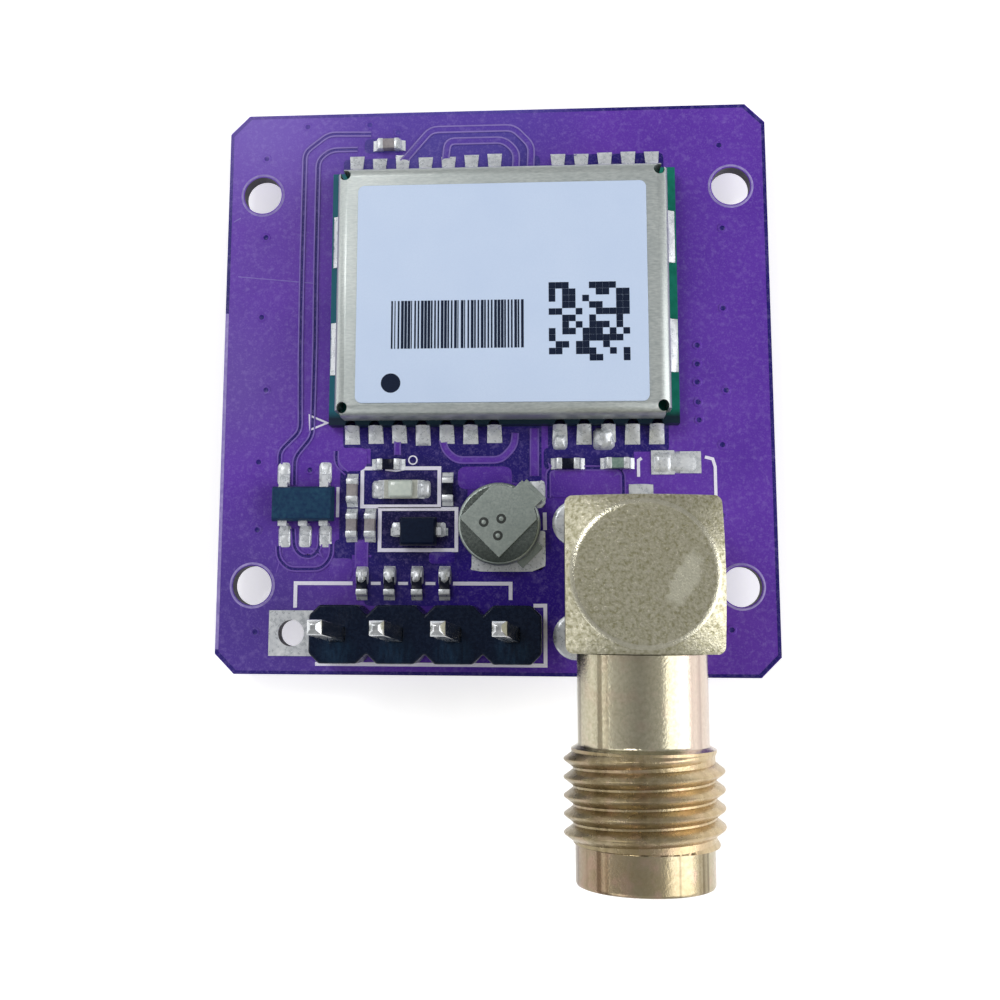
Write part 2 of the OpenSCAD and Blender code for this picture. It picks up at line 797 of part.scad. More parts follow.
// Solder in front of the regulator's and the diode's feet
module lead_solder() {
    regulator_end = regulator_l / 2 + lead_run + lead_foot;
    diode_end = diode_w / 2 + lead_run + diode_foot;
    color(tin_colour) {
        translate([regulator_x, regulator_y, board_t]) {
            for (k = [-1, 1])
                translate([k * regulator_lead_pitch, regulator_end, 0])
                    fillet(regulator_lead_w, lead_toe, lead_t);
            for (k = [-1, 0, 1])
                translate([k * regulator_lead_pitch, -regulator_end, 0]) rotate([0, 0, 180])
                    fillet(regulator_lead_w, lead_toe, lead_t);
        }
        translate([diode_x, diode_y, board_t]) for (turn = [90, -90])
            rotate([0, 0, turn]) translate([0, diode_end, 0]) fillet(diode_lead_w, diode_toe, lead_t);
    }
}

module bare_pads() {
    color(tin_colour) translate([0, 0, board_t]) linear_extrude(pad_t) {
        for (pad = bare_pad_spots)
            translate([pad[0], pad[1]]) square([pad[2], pad[3]], center = true);
        translate([spare_hole_x, header_y]) difference() {
            square(spare_pad_size, center = true);
            circle(d = header_hole_d);
        }
    }
}

circuit_board();
module_board();
module_shield();
module_label();
module_receiver_chip();
module_oscillator();
module_filter();
module_amplifier();
module_clock_crystal();
module_chip_parts();
module_solder_joints();
shield_solder();
jack_block();
jack_barrel();
jack_insulator();
jack_socket_contact();
jack_board_pin();
jack_base_insulator();
jack_solder_joints();
header_strip();
header_pin(pin_xs[0]);  // header_pin_1
header_pin(pin_xs[1]);  // header_pin_2
header_pin(pin_xs[2]);  // header_pin_3
header_pin(pin_xs[3]);  // header_pin_4
header_solder_joints();
regulator_body();
regulator_leads();
diode_body();
diode_leads();
lamp_carrier();
lamp_lens();
cell_can();
cell_gasket();
cell_cap();
cell_top_tab();
cell_bottom_tab();
capacitor(0);  // capacitor_1
capacitor(1);  // capacitor_2
capacitor(2);  // capacitor_3
capacitor(3);  // capacitor_4
resistor(0);  // resistor_1
resistor(1);  // resistor_2
resistor(2);  // resistor_3
resistor(3);  // resistor_4
resistor(4);  // resistor_5
resistor(5);  // resistor_6
resistor(6);  // resistor_7
coil();
chip_solder();
lead_solder();
bare_pads();
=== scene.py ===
import math
import random

import bmesh
import bpy
from mathutils import Matrix, Vector


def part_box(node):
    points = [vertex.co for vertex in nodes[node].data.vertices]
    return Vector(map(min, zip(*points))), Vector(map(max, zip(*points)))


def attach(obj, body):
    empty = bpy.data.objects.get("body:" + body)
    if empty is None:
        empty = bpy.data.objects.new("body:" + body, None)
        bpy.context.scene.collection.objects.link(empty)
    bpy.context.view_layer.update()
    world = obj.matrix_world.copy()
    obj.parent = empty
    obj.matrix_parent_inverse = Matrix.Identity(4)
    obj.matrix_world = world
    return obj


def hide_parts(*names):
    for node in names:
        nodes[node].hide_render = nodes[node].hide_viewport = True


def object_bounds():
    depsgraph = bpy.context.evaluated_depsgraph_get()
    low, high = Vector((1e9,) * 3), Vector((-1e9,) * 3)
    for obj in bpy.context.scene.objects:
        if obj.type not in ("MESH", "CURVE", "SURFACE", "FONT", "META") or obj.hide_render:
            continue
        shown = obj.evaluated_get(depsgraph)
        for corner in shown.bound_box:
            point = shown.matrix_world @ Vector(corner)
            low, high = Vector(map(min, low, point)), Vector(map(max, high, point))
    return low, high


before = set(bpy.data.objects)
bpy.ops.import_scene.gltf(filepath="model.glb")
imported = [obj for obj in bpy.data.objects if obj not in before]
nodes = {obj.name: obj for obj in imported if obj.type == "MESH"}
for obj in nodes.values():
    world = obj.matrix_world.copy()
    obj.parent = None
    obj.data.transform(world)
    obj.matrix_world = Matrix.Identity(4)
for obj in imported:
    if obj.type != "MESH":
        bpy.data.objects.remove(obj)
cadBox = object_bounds()
mm = 0.001  # sizes below are millimetres
joined = 0.0005  # points nearer than this are one
print("frame loaded:", len(nodes), "nodes")


def boxMm(nodeName):
    low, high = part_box(nodeName)
    return low / mm, high / mm


def addObject(name, data):
    made = bpy.data.objects.new(name, data)
    bpy.context.scene.collection.objects.link(made)
    return made


boardLow, boardHigh = boxMm("circuit_board")
boardTop = boardHigh.z

# camera

cameraView = {
    "place": (3.0, -10.6, 60.82),
    "right": (0.99694, 0.00454, -0.07802),
    "up": (0.00744, 0.98827, 0.15251),
    "back": (0.0778, -0.15263, 0.98522),
    "lens": 47.34,
    "sensor": 36,
    "shift": (0.0439, -0.0881),
    "clip": (0.001, 10),
}


def placeCamera(view):
    data = bpy.data.cameras.new("camera")
    data.sensor_width = view["sensor"]
    data.lens = view["lens"]
    data.shift_x, data.shift_y = view["shift"]
    data.clip_start, data.clip_end = view["clip"]
    camera = addObject("camera", data)
    turn = Matrix((view["right"], view["up"], view["back"])).transposed().to_4x4()
    camera.matrix_world = Matrix.Translation(Vector(view["place"]) * mm) @ turn
    bpy.context.scene.camera = camera


placeCamera(cameraView)
bpy.context.scene.view_settings.view_transform = "Standard"
print("camera placed")

# materials


def srgb(red, green, blue):
    def linear(value):
        share = value / 255
        return share / 12.92 if share <= 0.04045 else ((share + 0.055) / 1.055) ** 2.4

    return (linear(red), linear(green), linear(blue), 1)


def addNode(tree, kind, settings=None, inputs=None):
    node = tree.nodes.new(kind)
    for key, value in (settings or {}).items():
        setattr(node, key, value)
    for key, value in (inputs or {}).items():
        if isinstance(value, bpy.types.NodeSocket):
            tree.links.new(value, node.inputs[key])
        else:
            node.inputs[key].default_value = value
    return node


def mathOf(tree, operation, *values, kind="ShaderNodeMath"):
    return addNode(tree, kind, {"operation": operation}, dict(enumerate(values))).outputs["Value"]


def lengthOf(tree, vector):
    return mathOf(tree, "LENGTH", vector, kind="ShaderNodeVectorMath")


def newMaterial(name):
    material = bpy.data.materials.new(name)
    material.use_nodes = True
    tree = material.node_tree
    coordinates = addNode(tree, "ShaderNodeTexCoord").outputs["Object"]
    return material, tree, tree.nodes["Principled BSDF"], coordinates


def noiseAt(tree, coordinates, size, detail=3, stretch=(1, 1, 1)):  # size of one grain in mm
    mapping = addNode(tree, "ShaderNodeMapping", {}, {"Vector": coordinates, "Scale": stretch})
    inputs = {"Vector": mapping.outputs["Vector"], "Scale": 1 / (size * mm), "Detail": detail}
    return addNode(tree, "ShaderNodeTexNoise", {}, inputs).outputs["Fac"]


def spread(tree, value, low, high, fromLow=0.3, fromHigh=0.7):  # stretches a noise to a range
    inputs = {"Value": value, "From Min": fromLow, "From Max": fromHigh, "To Min": low, "To Max": high}
    return addNode(tree, "ShaderNodeMapRange", {}, inputs).outputs["Result"]


def mixTones(tree, share, first, second):
    inputs = {0: share, 6: first, 7: second}  # the node's sockets for a factor and two colours
    return addNode(tree, "ShaderNodeMix", {"data_type": "RGBA"}, inputs).outputs[2]


def shadeAlong(tree, coordinates, tone, shades):  # axis, where it starts and is full, tone and share
    parts = addNode(tree, "ShaderNodeSeparateXYZ", {}, {0: coordinates}).outputs
    for axis, start, full, shadeTone, share in shades:
        amount = spread(tree, parts[axis], 0, share, start * mm, full * mm)
        tone = mixTones(tree, amount, tone, srgb(*shadeTone))
    return tone


def patchAt(tree, coordinates, place, half, turn=0):  # 0 in the middle of an oval patch, 1 at its edge
    x, y = place
    flat = addNode(tree, "ShaderNodeMapping", {}, {"Vector": coordinates, "Scale": (1, 1, 0)}).outputs[0]
    placed = addNode(tree, "ShaderNodeMapping", {"vector_type": "TEXTURE"}, {
        "Vector": flat,
        "Location": (x * mm, y * mm, 0),
        "Rotation": (0, 0, math.radians(turn)),
        "Scale": (half[0] * mm, half[1] * mm, 1),
    })
    return lengthOf(tree, placed.outputs[0])


def finishShader(tree, shader, tone, rough, height, depth, values):  # depth of the bump in mm
    bump = addNode(tree, "ShaderNodeBump", {}, {"Height": height, "Distance": depth * mm})
    sockets = {"Base Color": tone, "Roughness": rough, "Normal": bump.outputs["Normal"]}
    for key, socket in sockets.items():
        tree.links.new(socket, shader.inputs[key])
    for key, value in values.items():
        shader.inputs[key].default_value = value


usualFinish = {
    "stretch": (1, 1, 1),
    "drift": 2.5,
    "driftShare": 0.35,
    "bump": 0.004,
    "shades": [],
    "shader": {},
}


def grained(name, finish):  # two tones, roughness and bump from one grain, and a third tone that drifts
    look = {**usualFinish, **finish}
    material, tree, shader, coordinates = newMaterial(name)
    grain = noiseAt(tree, coordinates, look["grain"], 4, look["stretch"])
    drift = noiseAt(tree, coordinates, look["drift"], 2)
    first, second, drifting = (srgb(*tone) for tone in look["tones"])
    tone = mixTones(tree, spread(tree, grain, 0, 1), first, second)
    tone = mixTones(tree, spread(tree, drift, 0, look["driftShare"]), tone, drifting)
    tone = shadeAlong(tree, coordinates, tone, look["shades"])
    rough = spread(tree, grain, *look["roughness"])
    finishShader(tree, shader, tone, rough, grain, look["bump"], look["shader"])
    return material


metal = {"Metallic": 1.0}
dull = {"Specular IOR Level": 0.12}
finishes = {
    "laminateEdge": {
        "tones": ((150, 146, 120), (196, 190, 165), (120, 112, 100)),
        "grain": 0.12, "stretch": (1, 1, 4), "roughness": (0.55, 0.75), "bump": 0.01,
    },
    # painted shade: the laminate in the holes, darker than at the board's edge
    "shadedHoleWall": {
        "tones": ((78, 76, 84), (106, 104, 106), (60, 58, 70)),
        "grain": 0.12, "stretch": (1, 1, 4), "roughness": (0.5, 0.7), "bump": 0.01, "shader": dull,
    },
    "ringLip": {
        "tones": ((132, 116, 184), (168, 154, 210), (108, 84, 172)),
        "grain": 0.25, "roughness": (0.4, 0.55), "bump": 0.01,
    },
    # partly painted highlight: a paler purple than the mask, for the raised lips along the traces
    "traceLip": {
        "tones": ((108, 84, 172), (134, 112, 194), (88, 58, 158)),
        "grain": 0.25, "roughness": (0.4, 0.55), "bump": 0.01,
        "shades": [
            ("Y", 6, 12, (140, 124, 192), 0.6),
            ("Y", -2, -4, (98, 58, 168), 0.7),
        ],
    },
    "moduleMask": {
        "tones": ((18, 112, 92), (30, 130, 110), (14, 90, 86)),
        "grain": 0.3, "roughness": (0.3, 0.42), "bump": 0.003, "shader": dull,
        "shades": [  # bluish on the left; painted shade of the shield, with flux, along the near joints
            ("X", -6.5, -7.2, (40, 96, 124), 0.75),
            ("Y", -1.35, -1.7, (24, 26, 48), 0.92),
        ],
    },
    "shieldMetal": {
        "tones": ((176, 183, 182), (202, 207, 204), (158, 167, 166)),
        "grain": 0.07, "stretch": (0.3, 1, 1), "roughness": (0.3, 0.42), "bump": 0.003,
        "shader": {"Metallic": 0.65, "Specular IOR Level": 0.3},
    },
    "labelStock": {
        "tones": ((196, 213, 239), (201, 217, 242), (191, 209, 237)),
        "grain": 0.06, "roughness": (0.42, 0.55), "bump": 0.001, "driftShare": 0.5,
    },
    "labelInk": {
        "tones": ((16, 26, 48), (24, 36, 60), (12, 22, 42)),
        "grain": 0.05, "roughness": (0.4, 0.6), "bump": 0.001, "shader": dull,
    },
    "silkInk": {
        "tones": ((236, 234, 250), (246, 245, 254), (216, 208, 242)),
        "grain": 0.1, "roughness": (0.5, 0.7),
    },
    "tin": {
        "tones": ((206, 211, 216), (236, 238, 240), (176, 181, 190)),
        "grain": 0.2, "drift": 0.5, "roughness": (0.2, 0.44), "bump": 0.009, "shader": {"Metallic": 0.4},
    },
    "pinPlate": {
        "tones": ((206, 210, 212), (230, 231, 232), (186, 192, 198)),
        "grain": 0.3, "stretch": (1, 1, 0.2), "roughness": (0.16, 0.28), "bump": 0.003, "shader": metal,
    },
    "bodyPlastic": {
        "tones": ((20, 48, 82), (36, 74, 98), (16, 38, 72)),
        "grain": 0.16, "drift": 0.8, "roughness": (0.42, 0.6), "bump": 0.01, "shader": dull,
    },
    "diodePlastic": {
        "tones": ((7, 19, 42), (14, 28, 52), (5, 14, 36)),
        "grain": 0.1, "roughness": (0.35, 0.5), "bump": 0.006, "shader": dull,
    },
    "capacitorCeramic": {
        "tones": ((136, 130, 134), (160, 153, 153), (112, 108, 116)),
        "grain": 0.12, "roughness": (0.35, 0.5), "bump": 0.006,
    },
    "coilCeramic": {
        "tones": ((106, 132, 124), (140, 160, 148), (82, 110, 108)),
        "grain": 0.1, "roughness": (0.3, 0.45), "bump": 0.006,
    },
    "resistorGlaze": {
        "tones": ((10, 13, 30), (24, 28, 48), (6, 8, 24)),
        "grain": 0.1, "roughness": (0.18, 0.34), "bump": 0.005, "shader": dull,
    },
    "lampCarrier": {
        "tones": ((180, 182, 172), (208, 210, 200), (156, 158, 150)),
        "grain": 0.1, "roughness": (0.4, 0.55), "bump": 0.005,
    },
    "lampResin": {
        "tones": ((194, 204, 198), (214, 221, 212), (178, 190, 176)),
        "grain": 0.22, "roughness": (0.12, 0.24), "bump": 0.006,
        "shader": {"Coat Weight": 0.3, "Coat Roughness": 0.06},
    },
    "cellSteel": {
        "tones": ((150, 160, 156), (176, 184, 178), (130, 142, 136)),
        "grain": 0.08, "roughness": (0.3, 0.42), "shader": {"Metallic": 0.7},
    },
    # painted reflection: the can's flat top darker than its steel sides
    "cellTopPaintedReflection": {
        "tones": ((104, 112, 110), (132, 140, 134), (88, 96, 92)),
        "grain": 0.12, "roughness": (0.2, 0.32), "shader": {"Metallic": 0.9},
        # painted reflection, darker towards the lower edge
        "shades": [("Y", -7.1, -8.3, (58, 66, 62), 0.8)],
    },
    "cellSeal": {
        "tones": ((40, 46, 44), (58, 64, 60), (30, 36, 34)),
        "grain": 0.1, "roughness": (0.5, 0.65),
    },
    "fluoropolymer": {
        "tones": ((222, 222, 214), (236, 236, 230), (208, 208, 200)),
        "grain": 0.2, "roughness": (0.45, 0.6),
    },
    "contactGold": {
        "tones": ((214, 178, 96), (232, 200, 122), (190, 150, 74)),
        "grain": 0.1, "roughness": (0.2, 0.34), "bump": 0.003, "shader": metal,
    },
    "shieldedParts": {
        "tones": ((120, 112, 96), (150, 142, 122), (100, 92, 80)),
        "grain": 0.2, "roughness": (0.4, 0.55),
    },
}
paint = {name: grained(name, finish) for name, finish in finishes.items()}

maskTones = {
    "copper": (srgb(91, 52, 162), srgb(101, 59, 172)),  # mask over copper
    "bare": (srgb(30, 22, 102), srgb(42, 32, 116)),  # mask over bare laminate
    "pale": srgb(172, 154, 218),  # dust in the pores
    "pore": 0.07,
    "cloud": 0.24,
    "drift": 3.2,
    "dust": (0, 0.2, 0.52, 0.8),  # its share, and the range of the noise that brings it
    "roughness": (0.26, 0.36),
    "bump": 0.004,
    "shader": {"Specular IOR Level": 0.16},
    "patches": [  # centre, full within and gone beyond, tone, share over copper and over bare laminate
        ((-11, 13.5), (1.5, 6), (118, 92, 188), 0.85, 0.5),
        ((-2, 13.5), (3, 7.5), (86, 72, 164), 0.6, 0.85),
        ((-12.7, 0), (1, 4.5), (104, 82, 164), 0.6, 0.2),
        ((-12, -12), (3, 8), (80, 62, 144), 0.8, 0.2),
        ((0.6, -9), (2.6, 5.6), (38, 8, 130), 0.95, 0.8),
        # painted shade on the board round the diode
        ((-3.4, -6.2), (1.5, 3), (16, 18, 60), 0, 0.85),
    ],
}


def solderMask(name, tones, over):
    material, tree, shader, coordinates = newMaterial(name)
    pores = noiseAt(tree, coordinates, maskTones["pore"], 4)
    cloud = noiseAt(tree, coordinates, maskTones["cloud"], 4)
    drift = noiseAt(tree, coordinates, maskTones["drift"], 3)
    tone = mixTones(tree, spread(tree, drift, 0, 1), *tones)
    for (x, y), (near, far), patchTone, *shares in maskTones["patches"]:
        inputs = {"Vector": coordinates, "Location": (-x * mm, -y * mm, 0), "Scale": (1, 1, 0)}
        centred = addNode(tree, "ShaderNodeMapping", {}, inputs).outputs["Vector"]
        share = spread(tree, lengthOf(tree, centred), shares[over], 0, near * mm, far * mm)
        tone = mixTones(tree, share, tone, srgb(*patchTone))
    for dust in (cloud, pores):
        tone = mixTones(tree, spread(tree, dust, *maskTones["dust"]), tone, maskTones["pale"])
    rough = spread(tree, drift, *maskTones["roughness"])
    finishShader(tree, shader, tone, rough, pores, maskTones["bump"], maskTones["shader"])
    return material


paint["mask"] = solderMask("mask", maskTones["copper"], 0)
paint["bareMask"] = solderMask("bareMask", maskTones["bare"], 1)

headerTones = {
    "base": (srgb(6, 16, 36), srgb(12, 26, 48)),
    # tones of the painted reflection below each pin
    "patch": (srgb(24, 46, 68), srgb(8, 22, 42)),
    "firstPin": (-6.7, -12.15),  # middle of the first patch
    "pitch": 2.54,
    "half": (0.75, 0.6),
    "fade": (0.6, 1.3),
    "grain": 0.14,
    "roughness": (0.2, 0.34),
    "bump": 0.012,
    "shader": {"Specular IOR Level": 0.16},
}


def headerBlack(name, look):  # with a paler patch below each pin, a painted reflection of the pin in the glossy plastic
    material, tree, shader, coordinates = newMaterial(name)
    grain = noiseAt(tree, coordinates, look["grain"], 4)
    streak = noiseAt(tree, coordinates, look["grain"], 3, (1, 0.25, 1))
    base = mixTones(tree, spread(tree, grain, 0, 1), *look["base"])
    patch = mixTones(tree, spread(tree, streak, 0, 1), *look["patch"])
    parts = addNode(tree, "ShaderNodeSeparateXYZ", {}, {0: coordinates}).outputs
    middle, reach = look["firstPin"][0] * mm, look["pitch"] / 2 * mm
    wrapped = mathOf(tree, "WRAP", parts["X"], middle + reach, middle - reach)
    local = addNode(tree, "ShaderNodeCombineXYZ", {}, {"X": wrapped, "Y": parts["Y"]}).outputs[0]
    away = patchAt(tree, local, look["firstPin"], look["half"])
    tone = mixTones(tree, spread(tree, away, 1, 0, *look["fade"]), base, patch)
    rough = spread(tree, grain, *look["roughness"])
    finishShader(tree, shader, tone, rough, grain, look["bump"], look["shader"])
    return material


paint["headerPlastic"] = headerBlack("headerPlastic", headerTones)

goldTones = {
    "pale": srgb(202, 198, 176),
    "olive": srgb(146, 143, 114),
    "warm": srgb(156, 130, 84),
    "edge": srgb(238, 235, 220),
    "pink": srgb(206, 170, 156),
    "brown": srgb(92, 78, 52),
    "scuff": srgb(216, 213, 192),
}
rubbedPatch = {"place": (7.75, -9.2), "half": (1.25, 0.5), "turn": 64}  # smooth and pale, on the block
plainGold = {"pink": 0, "streaks": 0, "rubbed": False, "worn": 0, "shades": []}
golds = {
    "blockGold": {"roughness": (0.26, 0.4), "mottle": 1, "warmth": 0.08, "rubbed": True},
    "edgeGold": {"roughness": (0.16, 0.26), "mottle": 0.6, "warmth": 0.05, "worn": 0.25},
    "barrelGold": {
        "roughness": (0.14, 0.22), "mottle": 0.4, "warmth": 0.25, "pink": 0.15, "streaks": 0.6,
        "shades": [("X", 7.3, 7.9, (240, 212, 208), 0.4)],  # painted highlight, paler on one side
    },
    "noseGold": {
        "roughness": (0.16, 0.26), "mottle": 0.4, "warmth": 0.6, "pink": 0.4, "streaks": 0.8,
        "shades": [("X", 6.0, 4.6, (104, 76, 58), 0.5)],  # painted shade, darker on the other
    },
    "threadGold": {
        "roughness": (0.24, 0.36), "mottle": 0.6, "warmth": 0.8, "pink": 0.25, "streaks": 0.4,
        # painted highlight paler on one side, painted shade darker on the other
        "shades": [("X", 6.6, 8.0, (226, 200, 158), 0.4), ("X", 5.6, 4.2, (112, 96, 62), 0.4)],
    },
}


def jackGold(name, gold):
    look = {**plainGold, **gold}
    material, tree, shader, coordinates = newMaterial(name)
    mottle, warmth = look["mottle"], look["warmth"]
    blotch = noiseAt(tree, coordinates, 0.17, 5)
    pits = noiseAt(tree, coordinates, 0.09, 4)
    drift = noiseAt(tree, coordinates, 2.2, 2)
    blush = noiseAt(tree, coordinates, 0.7, 2)
    streak = noiseAt(tree, coordinates, 0.5, 2, (1, 0.01, 1))  # lengthwise along the barrel
    layers = [  # noise, share where it is low and where it is high, these two levels, tone
        (blotch, 0, mottle, 0.35, 0.65, "olive"),
        (pits, 0, 0.5 * mottle, 0.45, 0.7, "scuff"),
        (drift, 0.6 * warmth, warmth, 0.3, 0.7, "warm"),
        (blush, 0, look["pink"], 0.5, 0.65, "pink"),
        (streak, 0, look["streaks"], 0.5, 0.64, "brown"),
    ]
    tone = goldTones["pale"]
    for noise, *span, toneName in layers:
        tone = mixTones(tree, spread(tree, noise, *span), tone, goldTones[toneName])
    if look["rubbed"]:
        away = patchAt(tree, coordinates, **rubbedPatch)
        ragged = mathOf(tree, "ADD", away, noiseAt(tree, coordinates, 0.4, 3))
        tone = mixTones(tree, spread(tree, ragged, 0.8, 0, 1.25, 1.55), tone, goldTones["scuff"])
    tone = mixTones(tree, look["worn"], tone, goldTones["edge"])
    tone = shadeAlong(tree, coordinates, tone, look["shades"])
    rough = spread(tree, blotch, *look["roughness"])
    finishShader(tree, shader, tone, rough, pits, 0.02 * mottle, {"Metallic": 0.9})
    return material


for name, gold in golds.items():
    paint[name] = jackGold(name, gold)
print("materials made:", len(paint))

# making and seating of pieces


def addPiece(bm, name, materials, replaced=(), sharp=40, weighted=True):  # bm is in mm
    bmesh.ops.scale(bm, vec=(mm, mm, mm), verts=bm.verts)
    mesh = bpy.data.meshes.new(name)
    bm.to_mesh(mesh)
    bm.free()
    for material in materials:
        mesh.materials.append(paint[material])
    mesh.polygons.foreach_set("use_smooth", [True] * len(mesh.polygons))
    mesh.set_sharp_from_angle(angle=math.radians(sharp))
    piece = addObject(name, mesh)
    if weighted:
        piece.modifiers.new("weighted", "WEIGHTED_NORMAL").keep_sharp = True
    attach(piece, "root")
    if replaced:
        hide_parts(*replaced)


def tidyNormals(bm):
    bmesh.ops.recalc_face_normals(bm, faces=bm.faces)


def addFlat(bm, name, material):  # thin print or trim
    tidyNormals(bm)
    addPiece(bm, name, [material], weighted=False)


def copyNode(nodeName):  # the node's own mesh in mm, merged, with its flat faces whole
    bm = bmesh.new()
    bm.from_mesh(nodes[nodeName].data)
    bmesh.ops.scale(bm, vec=(1 / mm, 1 / mm, 1 / mm), verts=bm.verts)
    bmesh.ops.remove_doubles(bm, verts=bm.verts, dist=joined)
    bmesh.ops.dissolve_limit(bm, angle_limit=math.radians(0.5), verts=bm.verts, edges=bm.edges)
    return bm


def bevelSharp(bm, width, segments=2, fromAngle=28, above=None):  # rounds the edges left sharp
    corner = math.radians(fromAngle)
    sharp = [e for e in bm.edges if e.is_manifold and e.calc_face_angle() > corner]
    if above is not None:
        sharp = [e for e in sharp if min(v.co.z for v in e.verts) > above]
    bmesh.ops.bevel(
        bm, geom=sharp, offset=width, affect="EDGES", segments=segments,
        profile=0.5, material=-1, clamp_overlap=True
    )


def softened(nodeName, width, materials, pick=None, segments=2):  # a node with worn edges
    bm = copyNode(nodeName)
    bevelSharp(bm, width, segments)
    if pick:
        for face in bm.faces:
            face.material_index = pick(face.calc_center_median())
    addPiece(bm, nodeName + "_worn", materials, [nodeName])


def dress(finishOf):  # nodes that stay as they are, each with a finish
    for nodeName, material in finishOf.items():
        mesh = nodes[nodeName].data
        mesh.materials.clear()
        mesh.materials.append(paint[material])


def roundCorners(points, radius, steps=4):  # arcs in place of a path's inner corners
    path = [Vector(points[0])]
    for before, corner, after in zip(points, points[1:], points[2:]):
        corner = Vector(corner)
        back = Vector(before) - corner
        ahead = Vector(after) - corner
        reach = min(radius, back.length / 2, ahead.length / 2)
        start = corner + back.normalized() * reach
        end = corner + ahead.normalized() * reach
        for step in range(steps + 1):
            t = step / steps
            path.append(start * (1 - t) ** 2 + corner * 2 * t * (1 - t) + end * t ** 2)
    path.append(Vector(points[-1]))
    return path


def mitre(path, k, closed=False):  # half-width direction at a path's point
    last = len(path) - 1
    here = path[k]
    before = path[k - 1] if k > 0 else path[last - 1] if closed else None
    after = path[k + 1] if k < last else path[1] if closed else None
    back = (here - before).normalized() if before else (after - here).normalized()
    ahead = (after - here).normalized() if after else back
    side = Vector((-(back + ahead).y, (back + ahead).x)).normalized()
    return side / max(side.dot(Vector((-back.y, back.x))), 0.3)


def thicken(bm, faces, rise):  # closed slab from flat faces
    grown = bmesh.ops.extrude_face_region(bm, geom=faces, use_keep_orig=True)
    tops = [g for g in grown["geom"] if isinstance(g, bmesh.types.BMVert)]
    bmesh.ops.translate(bm, vec=(0, 0, rise), verts=tops)


def ribbon(bm, points, width, low, high, radius=0, closed=False):  # flat strip along a path
    path = roundCorners(points, radius) if radius else [Vector(p) for p in points]
    if closed:
        path.append(path[0])
    old = set(bm.faces)
    sides = [mitre(path, k, closed) * width / 2 for k in range(len(path))]
    spans = [(p + side, p - side) for p, side in zip(path, sides)]
    ends = [bm.verts.new((*p, low)) for p in spans[0]]
    first = list(ends)
    for span in spans[1:]:
        grown = bmesh.ops.extrude_edge_only(bm, edges=[bm.edges.get(ends) or bm.edges.new(ends)])["geom"]
        fresh = [g for g in grown if isinstance(g, bmesh.types.BMVert)]
        fresh.sort(key=lambda v: (v.co - ends[0].co).length)
        ends = fresh
        for vert, place in zip(ends, span):
            vert.co = (*place, low)
    if closed:
        bmesh.ops.remove_doubles(bm, verts=first + ends, dist=joined)
    thicken(bm, [f for f in bm.faces if f not in old], high - low)


def plate(bm, outline, low, high):  # flat slab from an outline
    verts = [bm.verts.new((x, y, low)) for x, y in outline]
    thicken(bm, bmesh.ops.contextual_create(bm, geom=verts)["faces"], high - low)


def roundedRect(low, high, radius, steps=4):  # outline between two corners
    (left, bottom), (right, top) = low, high
    middleTop = ((left + right) / 2, top)
    loop = [middleTop, (right, top), (right, bottom), (left, bottom), (left, top), middleTop]
    return [(p.x, p.y) for p in roundCorners(loop, radius, steps)[1:-1]]


def lathe(bm, profile, place, axis=(0, 0, 1), steps=32, closed=False):  # turns (radius, along) pairs
    before = set(bm.verts)
    verts = [bm.verts.new((radius, 0, along)) for radius, along in profile]
    pairs = list(zip(verts, verts[1:])) + ([(verts[-1], verts[0])] if closed else [])
    edges = [bm.edges.new(pair) for pair in pairs]
    bmesh.ops.spin(
        bm, geom=verts + edges, cent=(0, 0, 0), axis=(0, 0, 1),
        angle=2 * math.pi, steps=steps, use_merge=True
    )
    bmesh.ops.remove_doubles(bm, verts=[v for v in bm.verts if v not in before], dist=joined)
    turn = Vector((0, 0, 1)).rotation_difference(Vector(axis)).to_matrix().to_4x4()
    turned = [v for v in bm.verts if v not in before]
    bmesh.ops.transform(bm, matrix=Matrix.Translation(place) @ turn, verts=turned)


def turnedSpots(name, look, level, steps, closed=False):  # one turned form at each spot
    bm = bmesh.new()
    for x, y in look["spots"]:
        lathe(bm, look["profile"], (x, y, level), steps=steps, closed=closed)
    tidyNormals(bm)
    for face in bm.faces:
        centre = face.calc_center_median()
        away = min(math.hypot(centre.x - x, centre.y - y) for x, y in look["spots"])
        face.material_index = 1 if away < look["middle"] else 0
    addPiece(bm, name, look["materials"], weighted=False)


# circuit board: mask above and below, bare laminate round the edge and in the holes, darkened there as
# painted shade


def dressBoard():
    mesh = nodes["circuit_board"].data
    mesh.materials.clear()
    for material in ("mask", "laminateEdge", "shadedHoleWall"):
        mesh.materials.append(paint[material])
    for face in mesh.polygons:
        if abs(face.normal.z) > 0.5:
            face.material_index = 0
        else:
            outermost = max(face.normal.dot(v.co) for v in mesh.vertices)
            face.material_index = 1 if face.normal.dot(face.center) > outermost - 0.1 * mm else 2


dressBoard()

